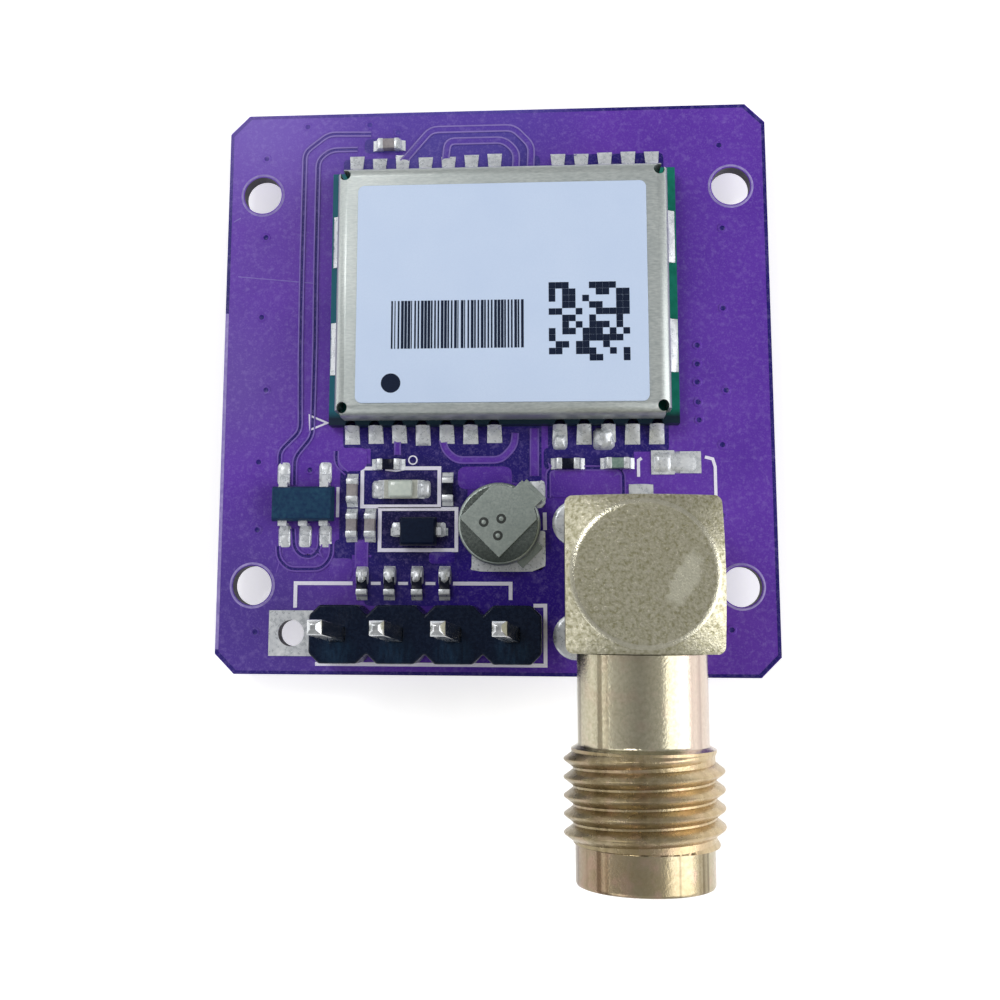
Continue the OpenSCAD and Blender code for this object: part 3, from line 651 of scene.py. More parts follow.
bareAreas = {
    "rise": 0.004,
    "layer": 0.0012,  # between slabs that overlap
    "edge": 0.16,
    "chamfer": 0.9,
    "worn": (3.5, -12.2),  # painted highlight along the left edge
    "corner": 0.25,
    "rects": [  # lower and upper corners
        ((-7.0, -3.0), (2.2, -1.6)),
        ((2.5, -3.2), (8.0, -1.7)),
        ((-5.7, -4.6), (2.2, -2.6)),
        ((2.3, -4.0), (6.4, -3.0)),
        ((-7.1, -7.9), (-1.2, -3.7)),
        ((-5.6, -8.6), (-1.0, -7.4)),
        ((-7.3, -8.3), (-6.5, -7.2)),
        ((-5.9, -10.2), (-1.6, -8.0)),
        ((-7.2, 9.9), (2.2, 11.0)),
        ((2.9, 9.9), (8.0, 11.0)),
        ((-6.2, 11.3), (-4.4, 12.0)),
    ],
    "outlines": [[(-4.3, 10.6), (-2.95, 12.35), (0.9, 12.35), (1.75, 11.45), (1.7, 10.6)]],
    "scratches": [
        [(-12.2, 5.3), (-8.3, 4.9)],
        [(-12.5, 8.0), (-12.15, 8.2)],
        [(-9.72, -7.7), (-10.0, -8.7)],
    ],
    "scratch": 0.05,
}


def makeBareAreas(look):
    bm = bmesh.new()
    low, high = boardTop - look["rise"], boardTop + look["rise"]
    inset = look["edge"] / 2
    chamfer = look["chamfer"]
    x, y = boardHigh.x - inset, boardHigh.y - inset
    rim = [
        (-x, y - chamfer), (-x + chamfer, y), (x - chamfer, y), (x, y - chamfer),
        (x, -y + chamfer), (x - chamfer, -y), (-x + chamfer, -y), (-x, -y + chamfer),
    ]
    ribbon(bm, rim, look["edge"], low, high, closed=True)
    for k, (lowCorner, highCorner) in enumerate(look["rects"], 1):
        plate(bm, roundedRect(lowCorner, highCorner, look["corner"]), low, high + k * look["layer"])
    for outline in look["outlines"]:
        plate(bm, outline, low, high)
    addFlat(bm, "bare_mask_areas", "bareMask")
    worn = bmesh.new()
    # painted highlight: a pale strip along the left edge
    ribbon(worn, [(-x, along) for along in look["worn"]], look["edge"], low, high + look["layer"])
    addFlat(worn, "painted_highlight_edge", "ringLip")
    scratches = bmesh.new()
    for path in look["scratches"]:
        ribbon(scratches, path, look["scratch"], low, high)
    addFlat(scratches, "scratches", "traceLip")


makeBareAreas(bareAreas)

traces = {
    "rise": 0.035,
    "layer": 0.0012,
    "lip": 0.012,
    "gapWidth": 0.12,
    "lipWidth": 0.07,
    "corner": 0.35,
    "wear": {"width": 0.02, "fromAngle": 60, "above": boardTop},
    "gaps": [
        [
            (-5.9, 12.25), (-7.95, 12.3), (-9.1, 11.4), (-9.12, 5.3),
            (-9.1, 1.4), (-9.02, -2.15), (-9.97, -3.1), (-9.96, -3.7),
        ],
        [
            (-6.55, 11.5), (-7.85, 11.5), (-8.45, 11.0), (-8.45, 5.3),
            (-8.42, 1.9), (-8.45, -2.4), (-9.26, -3.4), (-9.24, -4.7),
        ],
        [(-9.95, -7.5), (-9.9, -8.05), (-9.45, -8.55), (-7.9, -8.55), (-7.45, -8.0), (-7.45, -7.4)],
        [(-9.25, -6.7), (-9.18, -7.6), (-8.8, -7.98), (-8.3, -7.98), (-8.0, -7.6), (-8.0, -7.0)],
        [(-7.3, -3.1), (-7.3, -3.7), (-6.8, -4.15)],
        [(2.5, -5.3), (2.5, -4.1), (2.8, -3.95), (5.6, -3.95), (5.9, -4.2), (5.9, -5.2)],
    ],
    "strips": [  # path and width
        ([(-4.35, 10.8), (-3.0, 12.4), (0.95, 12.4), (1.8, 11.5), (1.75, 10.4)], 0.3),
        ([(-2.3, 10.8), (-2.2, 11.8), (0.5, 11.8), (1.1, 11.2), (1.05, 10.4)], 0.3),
        ([(-2.36, -2.6), (-2.25, -3.05), (-1.75, -3.55), (0.35, -3.55), (0.95, -2.9), (1.0, -2.3)], 0.28),
        ([(1.88, -2.1), (1.87, -4.3)], 0.36),
        ([(-4.45, -2.6), (-4.45, -3.3)], 0.25),
        ([(-6.05, -7.2), (-6.05, -8.5)], 0.55),
    ],
    "islands": [  # lower and upper corners, corner radius
        ((-7.25, -4.05), (-5.85, -2.95), 0.5),
        ((-1.65, -4.9), (0.85, -3.85), 0.4),
        ((2.55, -5.3), (5.85, -4.0), 0.3),
        ((-7.55, -9.1), (-6.45, -8.05), 0.45),
        ((-2.95, -8.3), (-1.75, -7.75), 0.2),
    ],
}


def lipAlong(bm, paths, look):  # raised line on both sides of each path, the given width apart
    low, high = boardTop - look["lip"], boardTop + look["rise"] + look["lip"]
    for path, apart in paths:
        bend = roundCorners(path, look["corner"])
        for side in (apart / 2, -apart / 2):
            shifted = [p + mitre(bend, k) * side for k, p in enumerate(bend)]
            ribbon(bm, shifted, look["lipWidth"], low, high)


def makeTraces(look):
    bm = bmesh.new()
    low, high = boardTop - look["lip"], boardTop + look["rise"]
    for k, (path, width) in enumerate(look["strips"]):
        ribbon(bm, path, width, low, high + k * look["layer"], look["corner"])
    for k, (lowCorner, highCorner, radius) in enumerate(look["islands"], 1):
        plate(bm, roundedRect(lowCorner, highCorner, radius), low, high - k * look["layer"])
    tidyNormals(bm)
    bevelSharp(bm, **look["wear"])
    addPiece(bm, "copper_traces", ["mask"])
    lips = bmesh.new()
    gaps = bmesh.new()
    for path in look["gaps"]:
        ribbon(gaps, path, look["gapWidth"], low, boardTop + look["lip"], look["corner"])
    lipAlong(lips, [(path, look["gapWidth"] + look["lipWidth"]) for path in look["gaps"]], look)
    lipAlong(lips, look["strips"], look)
    tidyNormals(lips)
    bevelSharp(lips, **look["wear"])
    addFlat(gaps, "trace_gaps", "bareMask")
    # the lips carry a painted highlight along the trace edges
    addPiece(lips, "trace_edges", ["traceLip"])


makeTraces(traces)

vias = {
    "profile": [(0.0, 0.004), (0.08, 0.004), (0.12, 0.024), (0.17, 0.03), (0.22, 0.015), (0.24, -0.01)],
    "middle": 0.13,
    "materials": ["mask", "bareMask"],
    "spots": [
        (-8.99, 12.69), (-5.97, 12.72), (-10.96, 11.13), (10.65, 7.27), (10.59, 3.45), (10.63, -0.39),
        (9.37, 1.72), (9.35, 0.84), (9.33, 0), (9.35, -0.93), (9.38, -1.76), (-10.96, -3.6),
        (-8.53, -3.98), (-10.93, -6.75), (-10.91, -11.41), (10.6, 11.3), (-10.9, 7.2), (-11.0, 3.3),
        (-10.7, -0.2), (-4.6, 12.3), (10.4, -2.9), (10.3, -6.1), (10.6, -11.2), (3.9, -4.6),
        (-0.9, -4.4), (0.1, -4.4),
    ],
}
turnedSpots("vias", vias, boardTop, 20)

holeRings = {
    "profile": [(0.905, -0.01), (0.905, 0.01), (0.95, 0.01), (0.98, 0.03), (1.08, -0.01)],
    "middle": 0.95,
    "materials": ["ringLip", "mask"],
    "spots": [(-11.1, 9.3), (11.1, 9.3), (-11.1, -9.3), (11.1, -9.3)],
}
turnedSpots("hole_rings", holeRings, boardTop, 48, True)
print("board dressed")

silk = {
    "rise": 0.022,
    "sink": 0.01,
    "fine": 0.09,
    "thin": 0.14,
    "thick": 0.17,
    "paths": [
        ([(-5.3, -3.92), (-6.07, -3.92), (-6.07, -5.68), (-2.5, -5.68), (-2.5, -3.92), (-4.1, -3.92)],
         "thick"),
        ([(-4.1, -3.92), (-4.5, -4.0), (-5.0, -3.94)], "thick"),
        ([(-2.36, -5.17), (-1.87, -5.17)], "thick"),
        ([(-7.2, -4.78), (-7.2, -6.17)], "thin"),
        ([(-9.08, -10.3), (-9.08, -9.19), (-6.45, -9.19)], "thick"),
        ([(-5.6, -9.19), (-5.15, -9.19)], "thin"),
        ([(-4.35, -9.19), (-3.9, -9.19)], "thin"),
        ([(-3.1, -9.19), (-2.65, -9.19)], "thin"),
        ([(-1.85, -9.19), (0.77, -9.19), (0.77, -9.92)], "thick"),
        ([(1.8, -10.17), (2.33, -10.17), (2.33, -12.82), (-8.1, -12.82)], "thick"),
        ([(6.75, -3.5), (6.6, -3.6), (6.6, -4.35)], "thin"),
        ([(9.6, -3.46), (9.95, -3.55), (10.05, -3.9), (10.05, -5.3)], "thin"),
        ([(2.33, -5.97), (2.34, -6.77)], "thick"),
    ],
    "frames": [
        ([(-5.23, -5.8), (-1.7, -5.8), (-1.7, -7.68), (-5.23, -7.68)], "thick"),
        ([(-8.6, -1.42), (-8.56, -2.1), (-7.76, -1.78)], "fine"),
    ],
    "circle": (-3.73, -3.54, 0.16, 0.06),
}


def makeSilk(look):
    bm = bmesh.new()
    sink, rise = look["sink"], look["rise"]
    low, high = boardTop - sink, boardTop + rise
    for path, width in look["paths"]:
        ribbon(bm, path, look[width], low, high)
    for path, width in look["frames"]:
        ribbon(bm, path, look[width], low, high, closed=True)
    x, y, radius, line = look["circle"]
    ring = [(radius, -sink), (radius, rise), (radius + line, rise), (radius + line, -sink)]
    lathe(bm, ring, (x, y, boardTop), steps=24, closed=True)
    addFlat(bm, "silk_lines", "silkInk")


makeSilk(silk)

# solder: pillowy pads and joints from small grids


patchFoot = 0.02  # how far solder reaches below its seat


def pillow(bm, place, halfSize, height, lump, seed, cells=6, square=6):  # domed patch of solder
    dice = random.Random(seed)
    grid = bmesh.ops.create_grid(bm, x_segments=cells, y_segments=cells, size=1)["verts"]
    for vert in grid:
        u, v = vert.co.x, vert.co.y
        edge = max(abs(u), abs(v))
        ring = (abs(u) ** square + abs(v) ** square) ** (1 / square) or 1
        swell = (1 - edge ** 3) * (1 + lump * (dice.random() - 0.5))
        vert.co = (u * edge / ring * halfSize[0], v * edge / ring * halfSize[1], height * swell)
    finishPatch(bm, grid, place)


def finishPatch(bm, grid, place, turn=0):  # skirt and floor under a patch, then its place
    patch = set(grid)
    rim = [e for e in bm.edges if e.is_boundary and e.verts[0] in patch]
    skirt = bmesh.ops.extrude_edge_only(bm, edges=rim)["geom"]
    foot = [g for g in skirt if isinstance(g, bmesh.types.BMVert)]
    for vert in foot:
        vert.co.z = -patchFoot
    floor = [e for e in bm.edges if e.is_boundary and e.verts[0] in set(foot)]
    bmesh.ops.contextual_create(bm, geom=floor)
    matrix = Matrix.Translation(place) @ Matrix.Rotation(math.radians(turn), 4, "Z")
    bmesh.ops.transform(bm, matrix=matrix, verts=list(patch) + foot)


def hollowFillet(bm, place, halfWidth, reach, height, turn, seed, cells=4, flare=0):  # rises to a wall
    dice = random.Random(seed)
    reach *= dice.uniform(0.88, 1.04)
    grid = bmesh.ops.create_grid(bm, x_segments=cells, y_segments=6, size=1)["verts"]
    fall = dice.uniform(1.6, 2.6)
    swell = dice.uniform(0.05, 0.16)
    for vert in grid:
        across = vert.co.x
        out = (vert.co.y + 1) / 2
        crown = 1 - 0.35 * across ** 2
        rise = (height * (1 - out) ** fall + swell * (1 - out ** 4)) * crown
        jitter = 0.03 * (dice.random() - 0.5)
        narrow = 1 - flare * (1 - out)
        vert.co = (across * halfWidth * narrow, out * reach, max(rise + jitter, 0.012))
    finishPatch(bm, grid, place, turn)


moduleLow, moduleHigh = boxMm("module_board")
joints = {
    "pitch": 1.1,
    "gap": 3.0,
    "left": 7,
    "right": 5,
    "halfWidth": 0.35,
    "near": (0.84, 0.1),  # reach, and how much the foot flares
    "far": (1.12, 0.28),
    "height": 0.6,
}


def makeModuleJoints(look):
    bm = bmesh.new()
    count = look["left"] + look["right"]
    skip = look["gap"] - look["pitch"]
    row = [k * look["pitch"] + (skip if k >= look["left"] else 0) for k in range(count)]
    start = (moduleLow.x + moduleHigh.x - row[-1]) / 2
    sides = ((moduleHigh.y, look["far"], 0, 0), (moduleLow.y, look["near"], 180, count))
    for k, along in enumerate(row):
        for edgeY, (reach, flare), turn, seed in sides:
            place = (start + along, edgeY, boardTop)
            hollowFillet(bm, place, look["halfWidth"], reach, look["height"], turn, k + seed, flare=flare)
    tidyNormals(bm)
    addPiece(bm, "edge_joints", ["tin"], ["module_solder_joints"], 60)


makeModuleJoints(joints)

pads = {
    "rects": [  # centre, half sizes, height
        ((-9.75, -4.15), (0.3, 0.52), 0.1), ((-7.8, -4.15), (0.3, 0.52), 0.1),
        ((-9.63, -7.05), (0.3, 0.5), 0.1), ((-8.68, -7.05), (0.3, 0.5), 0.1),
        ((-7.75, -7.05), (0.3, 0.5), 0.1), ((5.05, -2.6), (0.5, 0.52), 0.5),
        ((3.05, -2.7), (0.34, 0.4), 0.25), ((8.3, -3.7), (1.12, 0.5), 0.16),
        ((7.7, -3.7), (0.5, 0.52), 0.22), ((6.7, -5.0), (0.5, 0.32), 0.07),
        ((-5.3, -4.9), (0.32, 0.42), 0.16), ((-3.2, -4.9), (0.32, 0.42), 0.16),
        ((-2.45, -6.75), (0.3, 0.36), 0.05), ((-4.4, -6.75), (0.3, 0.36), 0.05),
        ((0.58, -7.9), (1.78, 0.75), 0.03), ((1.85, -5.13), (0.52, 0.64), 0.05),
        ((2.15, -7.2), (0.2, 0.4), 0.035),
    ],
    "lump": 0.5,
    "pullUps": ([-6.0, -4.74, -3.48, -2.22], -8.86, (0.3, 0.46), 0.42, 0.3),  # row of small resistors
    "discs": [((3.71, -6.46), 1.05), ((3.71, -11.54), 1.05), ((8.79, -6.46), 0.95), ((8.79, -11.54), 0.95)],
    "discHeight": 0.07,
}


def makePads(look):
    bm = bmesh.new()
    for k, ((x, y), halfSize, height) in enumerate(look["rects"]):
        pillow(bm, (x, y, boardTop), halfSize, height, look["lump"], k)
    columns, row, halfSize, height, lump = look["pullUps"]
    for k, x in enumerate(columns):
        pillow(bm, (x, row, boardTop), halfSize, height, lump, k)
    top = look["discHeight"]
    for (x, y), radius in look["discs"]:
        profile = [(radius, -0.01), (radius - 0.05, 0.6 * top), (radius * 0.8, 0.9 * top), (0, top)]
        lathe(bm, profile, (x, y, boardTop))
    tidyNormals(bm)
    addPiece(bm, "tinned_pads", ["tin"], sharp=60)


makePads(pads)
print("solder made")

# receiver module

dress({
    "module_board": "moduleMask",
    "module_receiver_chip": "bodyPlastic",
    "module_oscillator": "shieldedParts",
    "module_filter": "shieldedParts",
    "module_amplifier": "bodyPlastic",
    "module_clock_crystal": "shieldMetal",
    "module_chip_parts": "capacitorCeramic",
})

softened("module_shield", 0.03, ["shieldMetal"])
seamLow, seamHigh = boxMm("shield_solder")

seams = {
    "length": 2.45,
    "reach": 0.3,
    "spread": 0.42,  # the seam wets the strip beyond its reach
    "height": 0.32,
    "cells": 14,
}


def makeSeams(look):
    bm = bmesh.new()
    half = look["length"] / 2
    walls = ((seamLow.x + look["reach"], 90), (seamHigh.x - look["reach"], -90))
    for k, (wall, turn) in enumerate(walls):
        for j, along in enumerate((seamLow.y + half, seamHigh.y - half)):
            place = (wall, along, seamLow.z)
            hollowFillet(bm, place, half, look["spread"], look["height"], turn, 2 * k + j, look["cells"])
    tidyNormals(bm)
    addPiece(bm, "seam_solder", ["tin"], ["shield_solder"], 60)


makeSeams(seams)
softened("module_label", 0.02, ["labelStock"])
labelTop = boxMm("module_label")[1].z

labelPrint = {
    "thick": 0.006,
    "sink": 0.004,
    "seed": 5,
    "dot": (-4.49, -0.36, 0.44),
    "code": {"corner": (2.59, 0.57), "cells": 12, "size": 3.6, "ink": 0.52, "fill": 0.98},
    "bars": {"corner": (-4.5, 1.2), "length": 6.0, "height": 2.2, "count": 40, "fills": (0.3, 0.5, 0.8)},
}


def printBlock(bm, left, bottom, width, height):
    low, high = labelTop - labelPrint["sink"], labelTop + labelPrint["thick"]
    right, top = left + width, bottom + height
    plate(bm, [(left, bottom), (right, bottom), (right, top), (left, top)], low, high)


def makeLabelPrint(look):  # plain marks that encode nothing
    bm = bmesh.new()
    x, y, radius = look["dot"]
    sink, thick = look["sink"], look["thick"]
    lathe(bm, [(0, -sink), (radius, -sink), (radius, thick), (0, thick)], (x, y, labelTop), steps=40)
    dice = random.Random(look["seed"])
    code = look["code"]
    left, bottom = code["corner"]
    cell = code["size"] / code["cells"]
    side = cell * code["fill"]
    for row in range(code["cells"]):
        for column in range(code["cells"]):
            if dice.random() < code["ink"]:
                printBlock(bm, left + column * cell, bottom + row * cell, side, side)
    bars = look["bars"]
    left, bottom = bars["corner"]
    step = bars["length"] / bars["count"]
    for k in range(bars["count"]):
        printBlock(bm, left + k * step, bottom, step * dice.choice(bars["fills"]), bars["height"])
    addFlat(bm, "label_print", "labelInk")


makeLabelPrint(labelPrint)
print("module dressed")

# antenna jack

blockTop = boxMm("jack_block")[1].z

blockEdges = {
    "flat": 0.13,  # worn round edge of the turned flat
    "flatSteps": 4,
    "other": 0.06,
    "axis": (6.25, -9),
    "flatRadius": 2.775,
}


def makeBlock(look):
    bm = copyNode("jack_block")
    bevelSharp(bm, look["flat"], look["flatSteps"], 20, blockTop - 0.01)
    axis = Vector(look["axis"])
    for face in bm.faces:
        off = max(abs((v.co.xy - axis).length - look["flatRadius"]) for v in face.verts)
        face.material_index = 1 if off < look["flat"] + 0.02 and face.normal.z < 0.995 else 0
    bevelSharp(bm, look["other"], 3)
    addPiece(bm, "jack_block_worn", ["blockGold", "edgeGold"], ["jack_block"])


makeBlock(blockEdges)
dress({
    "jack_insulator": "fluoropolymer",
    "jack_base_insulator": "fluoropolymer",
    "jack_socket_contact": "contactGold",
    "jack_board_pin": "contactGold",
    "jack_solder_joints": "tin",
    "header_solder_joints": "tin",
    "bare_pads": "tin",
})

barrelLow, barrelHigh = boxMm("jack_barrel")
barrel = {
    "axisX": (barrelLow.x + barrelHigh.x) / 2,
    "axisZ": (barrelLow.z + barrelHigh.z) / 2,
    "nose": 1.55,
    "noseRadius": 2.725,
    "threadLength": 3.8,
    "crest": 3.175,
    "root": 2.8,
    "pitch": 0.7056,
    "neck": 2.6,
    "neckLength": 3.6,
    "socket": 2.3,
    "socketDepth": 1.9,
    "bore": 2.05,
    "spigot": 2.4,
    "spigotLength": 0.9,
    "edge": 0.12,
    "support": 0.04,  # keeps the shading of a rounded edge off the long walls
    "shoulder": 2.86,
    "relief": 0.06,  # fillet from the thread to the neck
    "runOut": 0.12,
    "leadIn": 0.2256,  # the helix starts this far inside the nose
    "fadeIn": 0.8,  # turns until the ridge is full
    "fadeOut": 0.6,
    "startTurn": -0.4,
    "stepsPerTurn": 72,
}


def makeBarrelCore(look):
    bm = bmesh.new()
    nose, edge, support, relief = look["nose"], look["edge"], look["support"], look["relief"]
    noseRadius, root, shoulder, neck = look["noseRadius"], look["root"], look["shoulder"], look["neck"]
    socket, bore, spigot = look["socket"], look["bore"], look["spigot"]
    threadEnd = nose + look["threadLength"]
    neckEnd = threadEnd + look["neckLength"]
    spigotEnd = neckEnd + look["spigotLength"]
    profile = [
        (socket + edge, 0), (noseRadius - edge, 0), (noseRadius - edge * 0.3, edge * 0.3),
        (noseRadius, edge), (noseRadius, edge + support), (noseRadius, nose - support), (noseRadius, nose),
        (root, nose + 0.05), (root, threadEnd - 3 * edge),
        (shoulder, threadEnd - 2 * edge), (shoulder, threadEnd - edge),
        (neck + 0.03, threadEnd), (neck, threadEnd + relief), (neck, threadEnd + relief + support),
        (neck, neckEnd - 0.05 - support), (neck, neckEnd - 0.05),
        (spigot, neckEnd), (spigot, spigotEnd), (bore, spigotEnd), (bore, look["socketDepth"]),
        (socket, look["socketDepth"]), (socket, edge),
    ]
    lathe(bm, profile, (look["axisX"], barrelLow.y, look["axisZ"]), (0, 1, 0), 128, True)
    tidyNormals(bm)
    return bm


def makeThread(bm, look):  # ridge wound round the core, fading out at both ends
    pitch, root, crest, leadIn = look["pitch"], look["root"], look["crest"], look["leadIn"]
    perTurn = look["stepsPerTurn"]
    turns = (look["threadLength"] - look["runOut"] + leadIn) / pitch
    steps = int(turns * perTurn)
    half = pitch / 2
    buried = look["noseRadius"] - 0.03
    flank = [(buried, half), (root, half - 0.04), (crest - 0.02, 0.05)]
    section = [(radius, -along) for radius, along in flank] + [(crest, 0)] + flank[::-1]
    before = set(bm.verts)
    verts = [bm.verts.new((radius, 0, along)) for radius, along in section]
    face = bmesh.ops.contextual_create(bm, geom=verts)["faces"][0]
    bmesh.ops.spin(
        bm, geom=[face] + list(face.edges) + verts, cent=(0, 0, 0), axis=(0, 0, 1),
        dvec=(0, 0, pitch / perTurn), angle=2 * math.pi * steps / perTurn, steps=steps
    )
    wound = [v for v in bm.verts if v not in before]
    length = steps / perTurn * pitch
    fadeIn, fadeOut = look["fadeIn"] * pitch, look["fadeOut"] * pitch
    lowest, highest = leadIn, leadIn + look["threadLength"] - look["edge"]
    for vert in wound:
        radius = math.hypot(vert.co.x, vert.co.y)
        turn = math.atan2(vert.co.y, vert.co.x) / (2 * math.pi)
        middle = (round((vert.co.z / pitch) - turn) + turn) * pitch
        ends = min(max(min(middle / fadeIn, (length - middle) / fadeOut), 0), 1)
        wanted = buried + (radius - buried) * ends
        vert.co.x *= wanted / radius
        vert.co.y *= wanted / radius
        vert.co.z = min(max(vert.co.z, lowest), highest)
    turnTo = Vector((0, 0, 1)).rotation_difference(Vector((0, 1, 0))).to_matrix().to_4x4()
    turnTo = turnTo @ Matrix.Rotation(2 * math.pi * look["startTurn"], 4, "Z")
    start = (look["axisX"], barrelLow.y + look["nose"] - leadIn, look["axisZ"])
    bmesh.ops.transform(bm, matrix=Matrix.Translation(start) @ turnTo, verts=wound)
    bmesh.ops.remove_doubles(bm, verts=wound, dist=2 * joined)
    return [v for v in wound if v.is_valid]


def makeBarrel(look):
    bm = makeBarrelCore(look)
    wound = set(makeThread(bm, look))
    tidyNormals(bm)
    first = barrelLow.y + look["nose"]
    last = first + look["threadLength"] - look["runOut"]
    for face in bm.faces:
        middle = face.calc_center_median()
        if face.verts[0] in wound or (first < middle.y < last and face.normal.y ** 2 < 0.9):
            face.material_index = 1
        else:
            face.material_index = 2 if middle.y < first else 0
    gold = ["barrelGold", "threadGold", "noseGold"]
    addPiece(bm, "jack_barrel_threaded", gold, ["jack_barrel"], 35)


makeBarrel(barrel)
print("jack made")

# pin header

softened("header_strip", 0.1, ["headerPlastic"], segments=3)
stripTop = boxMm("header_strip")[1].z

pins = {
    "wear": 0.03,
    "lean": [(-0.175, 0.115), (-0.152, 0.108), (-0.15, 0.105), (-0.148, 0.107)],  # sideways per length
}


def makePins(look):
    for k, lean in enumerate(look["lean"], 1):
        nodeName = "header_pin_%d" % k
        bm = copyNode(nodeName)
        bevelSharp(bm, look["wear"])
        whole = bm.verts[:] + bm.edges[:] + bm.faces[:]
        bmesh.ops.bisect_plane(bm, geom=whole, plane_co=(0, 0, stripTop), plane_no=(0, 0, 1))
        for vert in bm.verts:
            above = max(vert.co.z - stripTop, 0)
            vert.co.x += lean[0] * above
            vert.co.y += lean[1] * above
        addPiece(bm, nodeName + "_leaning", ["pinPlate"], [nodeName])


makePins(pins)

# small parts

softened("regulator_body", 0.05, ["bodyPlastic"])
softened("diode_body", 0.05, ["diodePlastic"])
dress({name: "tin" for name in ("regulator_leads", "diode_leads", "lead_solder", "chip_solder")})

chipEnd = 0.22


def endPicker(nodeName):  # tells a chip's tinned ends from its body
    low, high = boxMm(nodeName)
    axis = 0 if high.x - low.x > high.y - low.y else 1
    middle = (low[axis] + high[axis]) / 2
    reach = (high[axis] - low[axis]) / 2 - chipEnd - 0.01
    return lambda centre: 1 if abs(centre[axis] - middle) > reach else 0


chipBodies = {"coil": ("coilCeramic", "chip_green")}
chipBodies.update({"capacitor_%d" % k: ("capacitorCeramic", "chip_ceramic") for k in range(1, 5)})
chipBodies.update({"resistor_%d" % k: ("resistorGlaze", "chip_black") for k in range(1, 8)})
for nodeName, (body, slotName) in chipBodies.items():
    softened(nodeName, 0.03, [body, "tin"], endPicker(nodeName))

softened("lamp_carrier", 0.03, ["lampCarrier", "tin"], endPicker("lamp_carrier"))
softened("lamp_lens", 0.06, ["lampResin"])

canTop = boxMm("cell_can")[1].z
crownFrom = canTop - 0.005
# the can's top takes the finish with the painted reflection
softened("cell_can", 0.09, ["cellSteel", "cellTopPaintedReflection"], lambda c: c.z > crownFrom, 3)
softened("cell_top_tab", 0.02, ["cellSteel"])
softened("cell_bottom_tab", 0.03, ["cellSteel"])
dress({"cell_gasket": "cellSeal", "cell_cap": "cellSteel"})
tabTop = boxMm("cell_top_tab")[1].z

welds = {
    "spots": [(-0.37, -6.5), (0.41, -6.35), (0.26, -7.1)],
    "profile": [(0, 0.012), (0.07, 0.01), (0.1, 0.003), (0.2, 0.003), (0.25, -0.004)],
    "middle": 0.085,
    "materials": ["cellSeal", "cellSteel"],
}
turnedSpots("weld_spots", welds, tabTop, 24)
print("small parts made")

# underside: pads round the tails

underside = {
    "rise": 0.03,
    "pins": (-6.7, 2.54, 4, -11.45),  # first, pitch, how many, row
    "pinRing": (0.6, 0.98),
    "legRing": (0.78, 1.2),
    "legs": [(3.71, -6.46), (8.79, -6.46), (3.71, -11.54), (8.79, -11.54), (6.25, -9)],
}


def makeUnderside(look):
    bm = bmesh.new()
    first, pitch, count, row = look["pins"]
    rings = [((first + k * pitch, row), look["pinRing"]) for k in range(-1, count)]
    rings += [(spot, look["legRing"]) for spot in look["legs"]]
    for spot, (inner, outer) in rings:
        ring = [(inner, 0.01), (outer, 0.01), (outer - 0.03, -look["rise"]), (inner, -look["rise"])]
        lathe(bm, ring, (*spot, boardLow.z), closed=True)
    addFlat(bm, "underside_pads", "tin")


makeUnderside(underside)

# floor, light and surroundings

studio = {
    "floorLevel": cadBox[0].z,
    "floorSize": 0.8,
    "floorTone": (0.9, 0.9, 0.9, 1),
    "floorLift": 0.45,
    "overhead": 0.5,
    "swells": [  # direction, strength added there, how narrow
        ((1, 0, 0), 0.05, 1),
        ((1, 0, 0), 0.45, 4),
        ((0, 1, 0), -0.1, 2),
        ((0.61, 0.61, 0.5), -0.16, 8),
        ((-0.14, 0, 0.99), -0.22, 12),  # where the photographer stands
    ],
    "lamps": {  # direction, distance, size across and up, power
        "windowRight": ((1, -0.24, 0.6), 0.28, (0.26, 0.23), 0.42),
        "stripLeft": ((-1, 0.05, 0.36), 0.28, (0.3, 0.05), 0.07),
        "backLeft": ((-0.6, 0.6, 0.48), 0.28, (0.12, 0.12), 0.05),
        "highLeft": ((-0.42, 0.42, 1), 0.28, (0.07, 0.07), 0.13),
        "lowLeft": ((-0.6, -0.6, 0.5), 0.28, (0.12, 0.12), 0.06),
    },
}


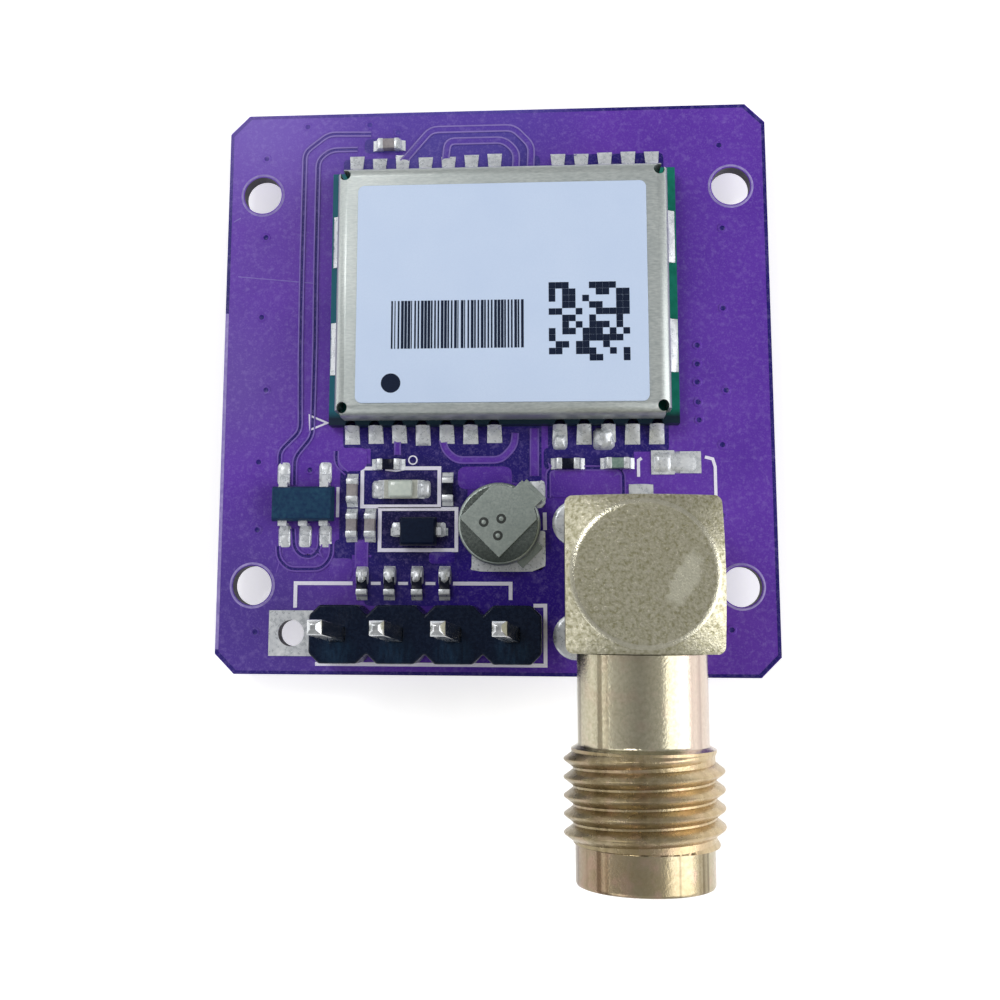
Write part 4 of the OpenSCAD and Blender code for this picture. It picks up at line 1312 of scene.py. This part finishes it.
def makeFloor(look):
    bm = bmesh.new()
    bmesh.ops.create_grid(bm, x_segments=2, y_segments=2, size=look["floorSize"] / 2)
    bmesh.ops.translate(bm, vec=(0, 0, look["floorLevel"]), verts=bm.verts)
    mesh = bpy.data.meshes.new("floor")
    bm.to_mesh(mesh)
    bm.free()
    material = bpy.data.materials.new("floorPaper")
    material.use_nodes = True
    tree = material.node_tree
    tree.nodes.clear()
    diffuse = addNode(tree, "ShaderNodeBsdfDiffuse", {}, {"Color": look["floorTone"]})
    rays = addNode(tree, "ShaderNodeLightPath").outputs
    seen = mathOf(tree, "MAXIMUM", rays["Is Camera Ray"], rays["Is Glossy Ray"])
    seen = mathOf(tree, "MAXIMUM", seen, rays["Is Transmission Ray"])
    lift = mathOf(tree, "MULTIPLY", seen, look["floorLift"])
    glow = addNode(tree, "ShaderNodeEmission", {}, {"Strength": lift})
    both = addNode(tree, "ShaderNodeAddShader", {}, {0: diffuse.outputs[0], 1: glow.outputs[0]})
    addNode(tree, "ShaderNodeOutputMaterial", {}, {"Surface": both.outputs[0]})
    mesh.materials.append(material)
    floor = addObject("floor", mesh)


def lightRoom(look):
    world = bpy.data.worlds.new("room")
    bpy.context.scene.world = world
    world.use_nodes = True
    tree = world.node_tree
    tree.nodes.clear()
    direction = addNode(tree, "ShaderNodeTexCoord").outputs["Generated"]
    strength = look["overhead"]
    for axis, share, power in look["swells"]:
        facing = mathOf(tree, "DOT_PRODUCT", direction, axis, kind="ShaderNodeVectorMath")
        raised = mathOf(tree, "POWER", facing, power)
        strength = mathOf(tree, "MULTIPLY_ADD", raised, share, strength)
    background = addNode(tree, "ShaderNodeBackground", {}, {"Color": (1, 1, 1, 1), "Strength": strength})
    addNode(tree, "ShaderNodeOutputWorld", {}, {"Surface": background.outputs[0]})
    for name, (direction, distance, size, power) in look["lamps"].items():
        data = bpy.data.lights.new(name, "AREA")
        data.shape = "RECTANGLE"
        data.size, data.size_y = size
        data.energy = power
        lamp = addObject(name, data)
        towards = Vector(direction).normalized()
        turn = towards.to_track_quat("Z", "Y").to_matrix().to_4x4()
        lamp.matrix_world = Matrix.Translation(towards * distance) @ turn


makeFloor(studio)
lightRoom(studio)
print("studio lit")
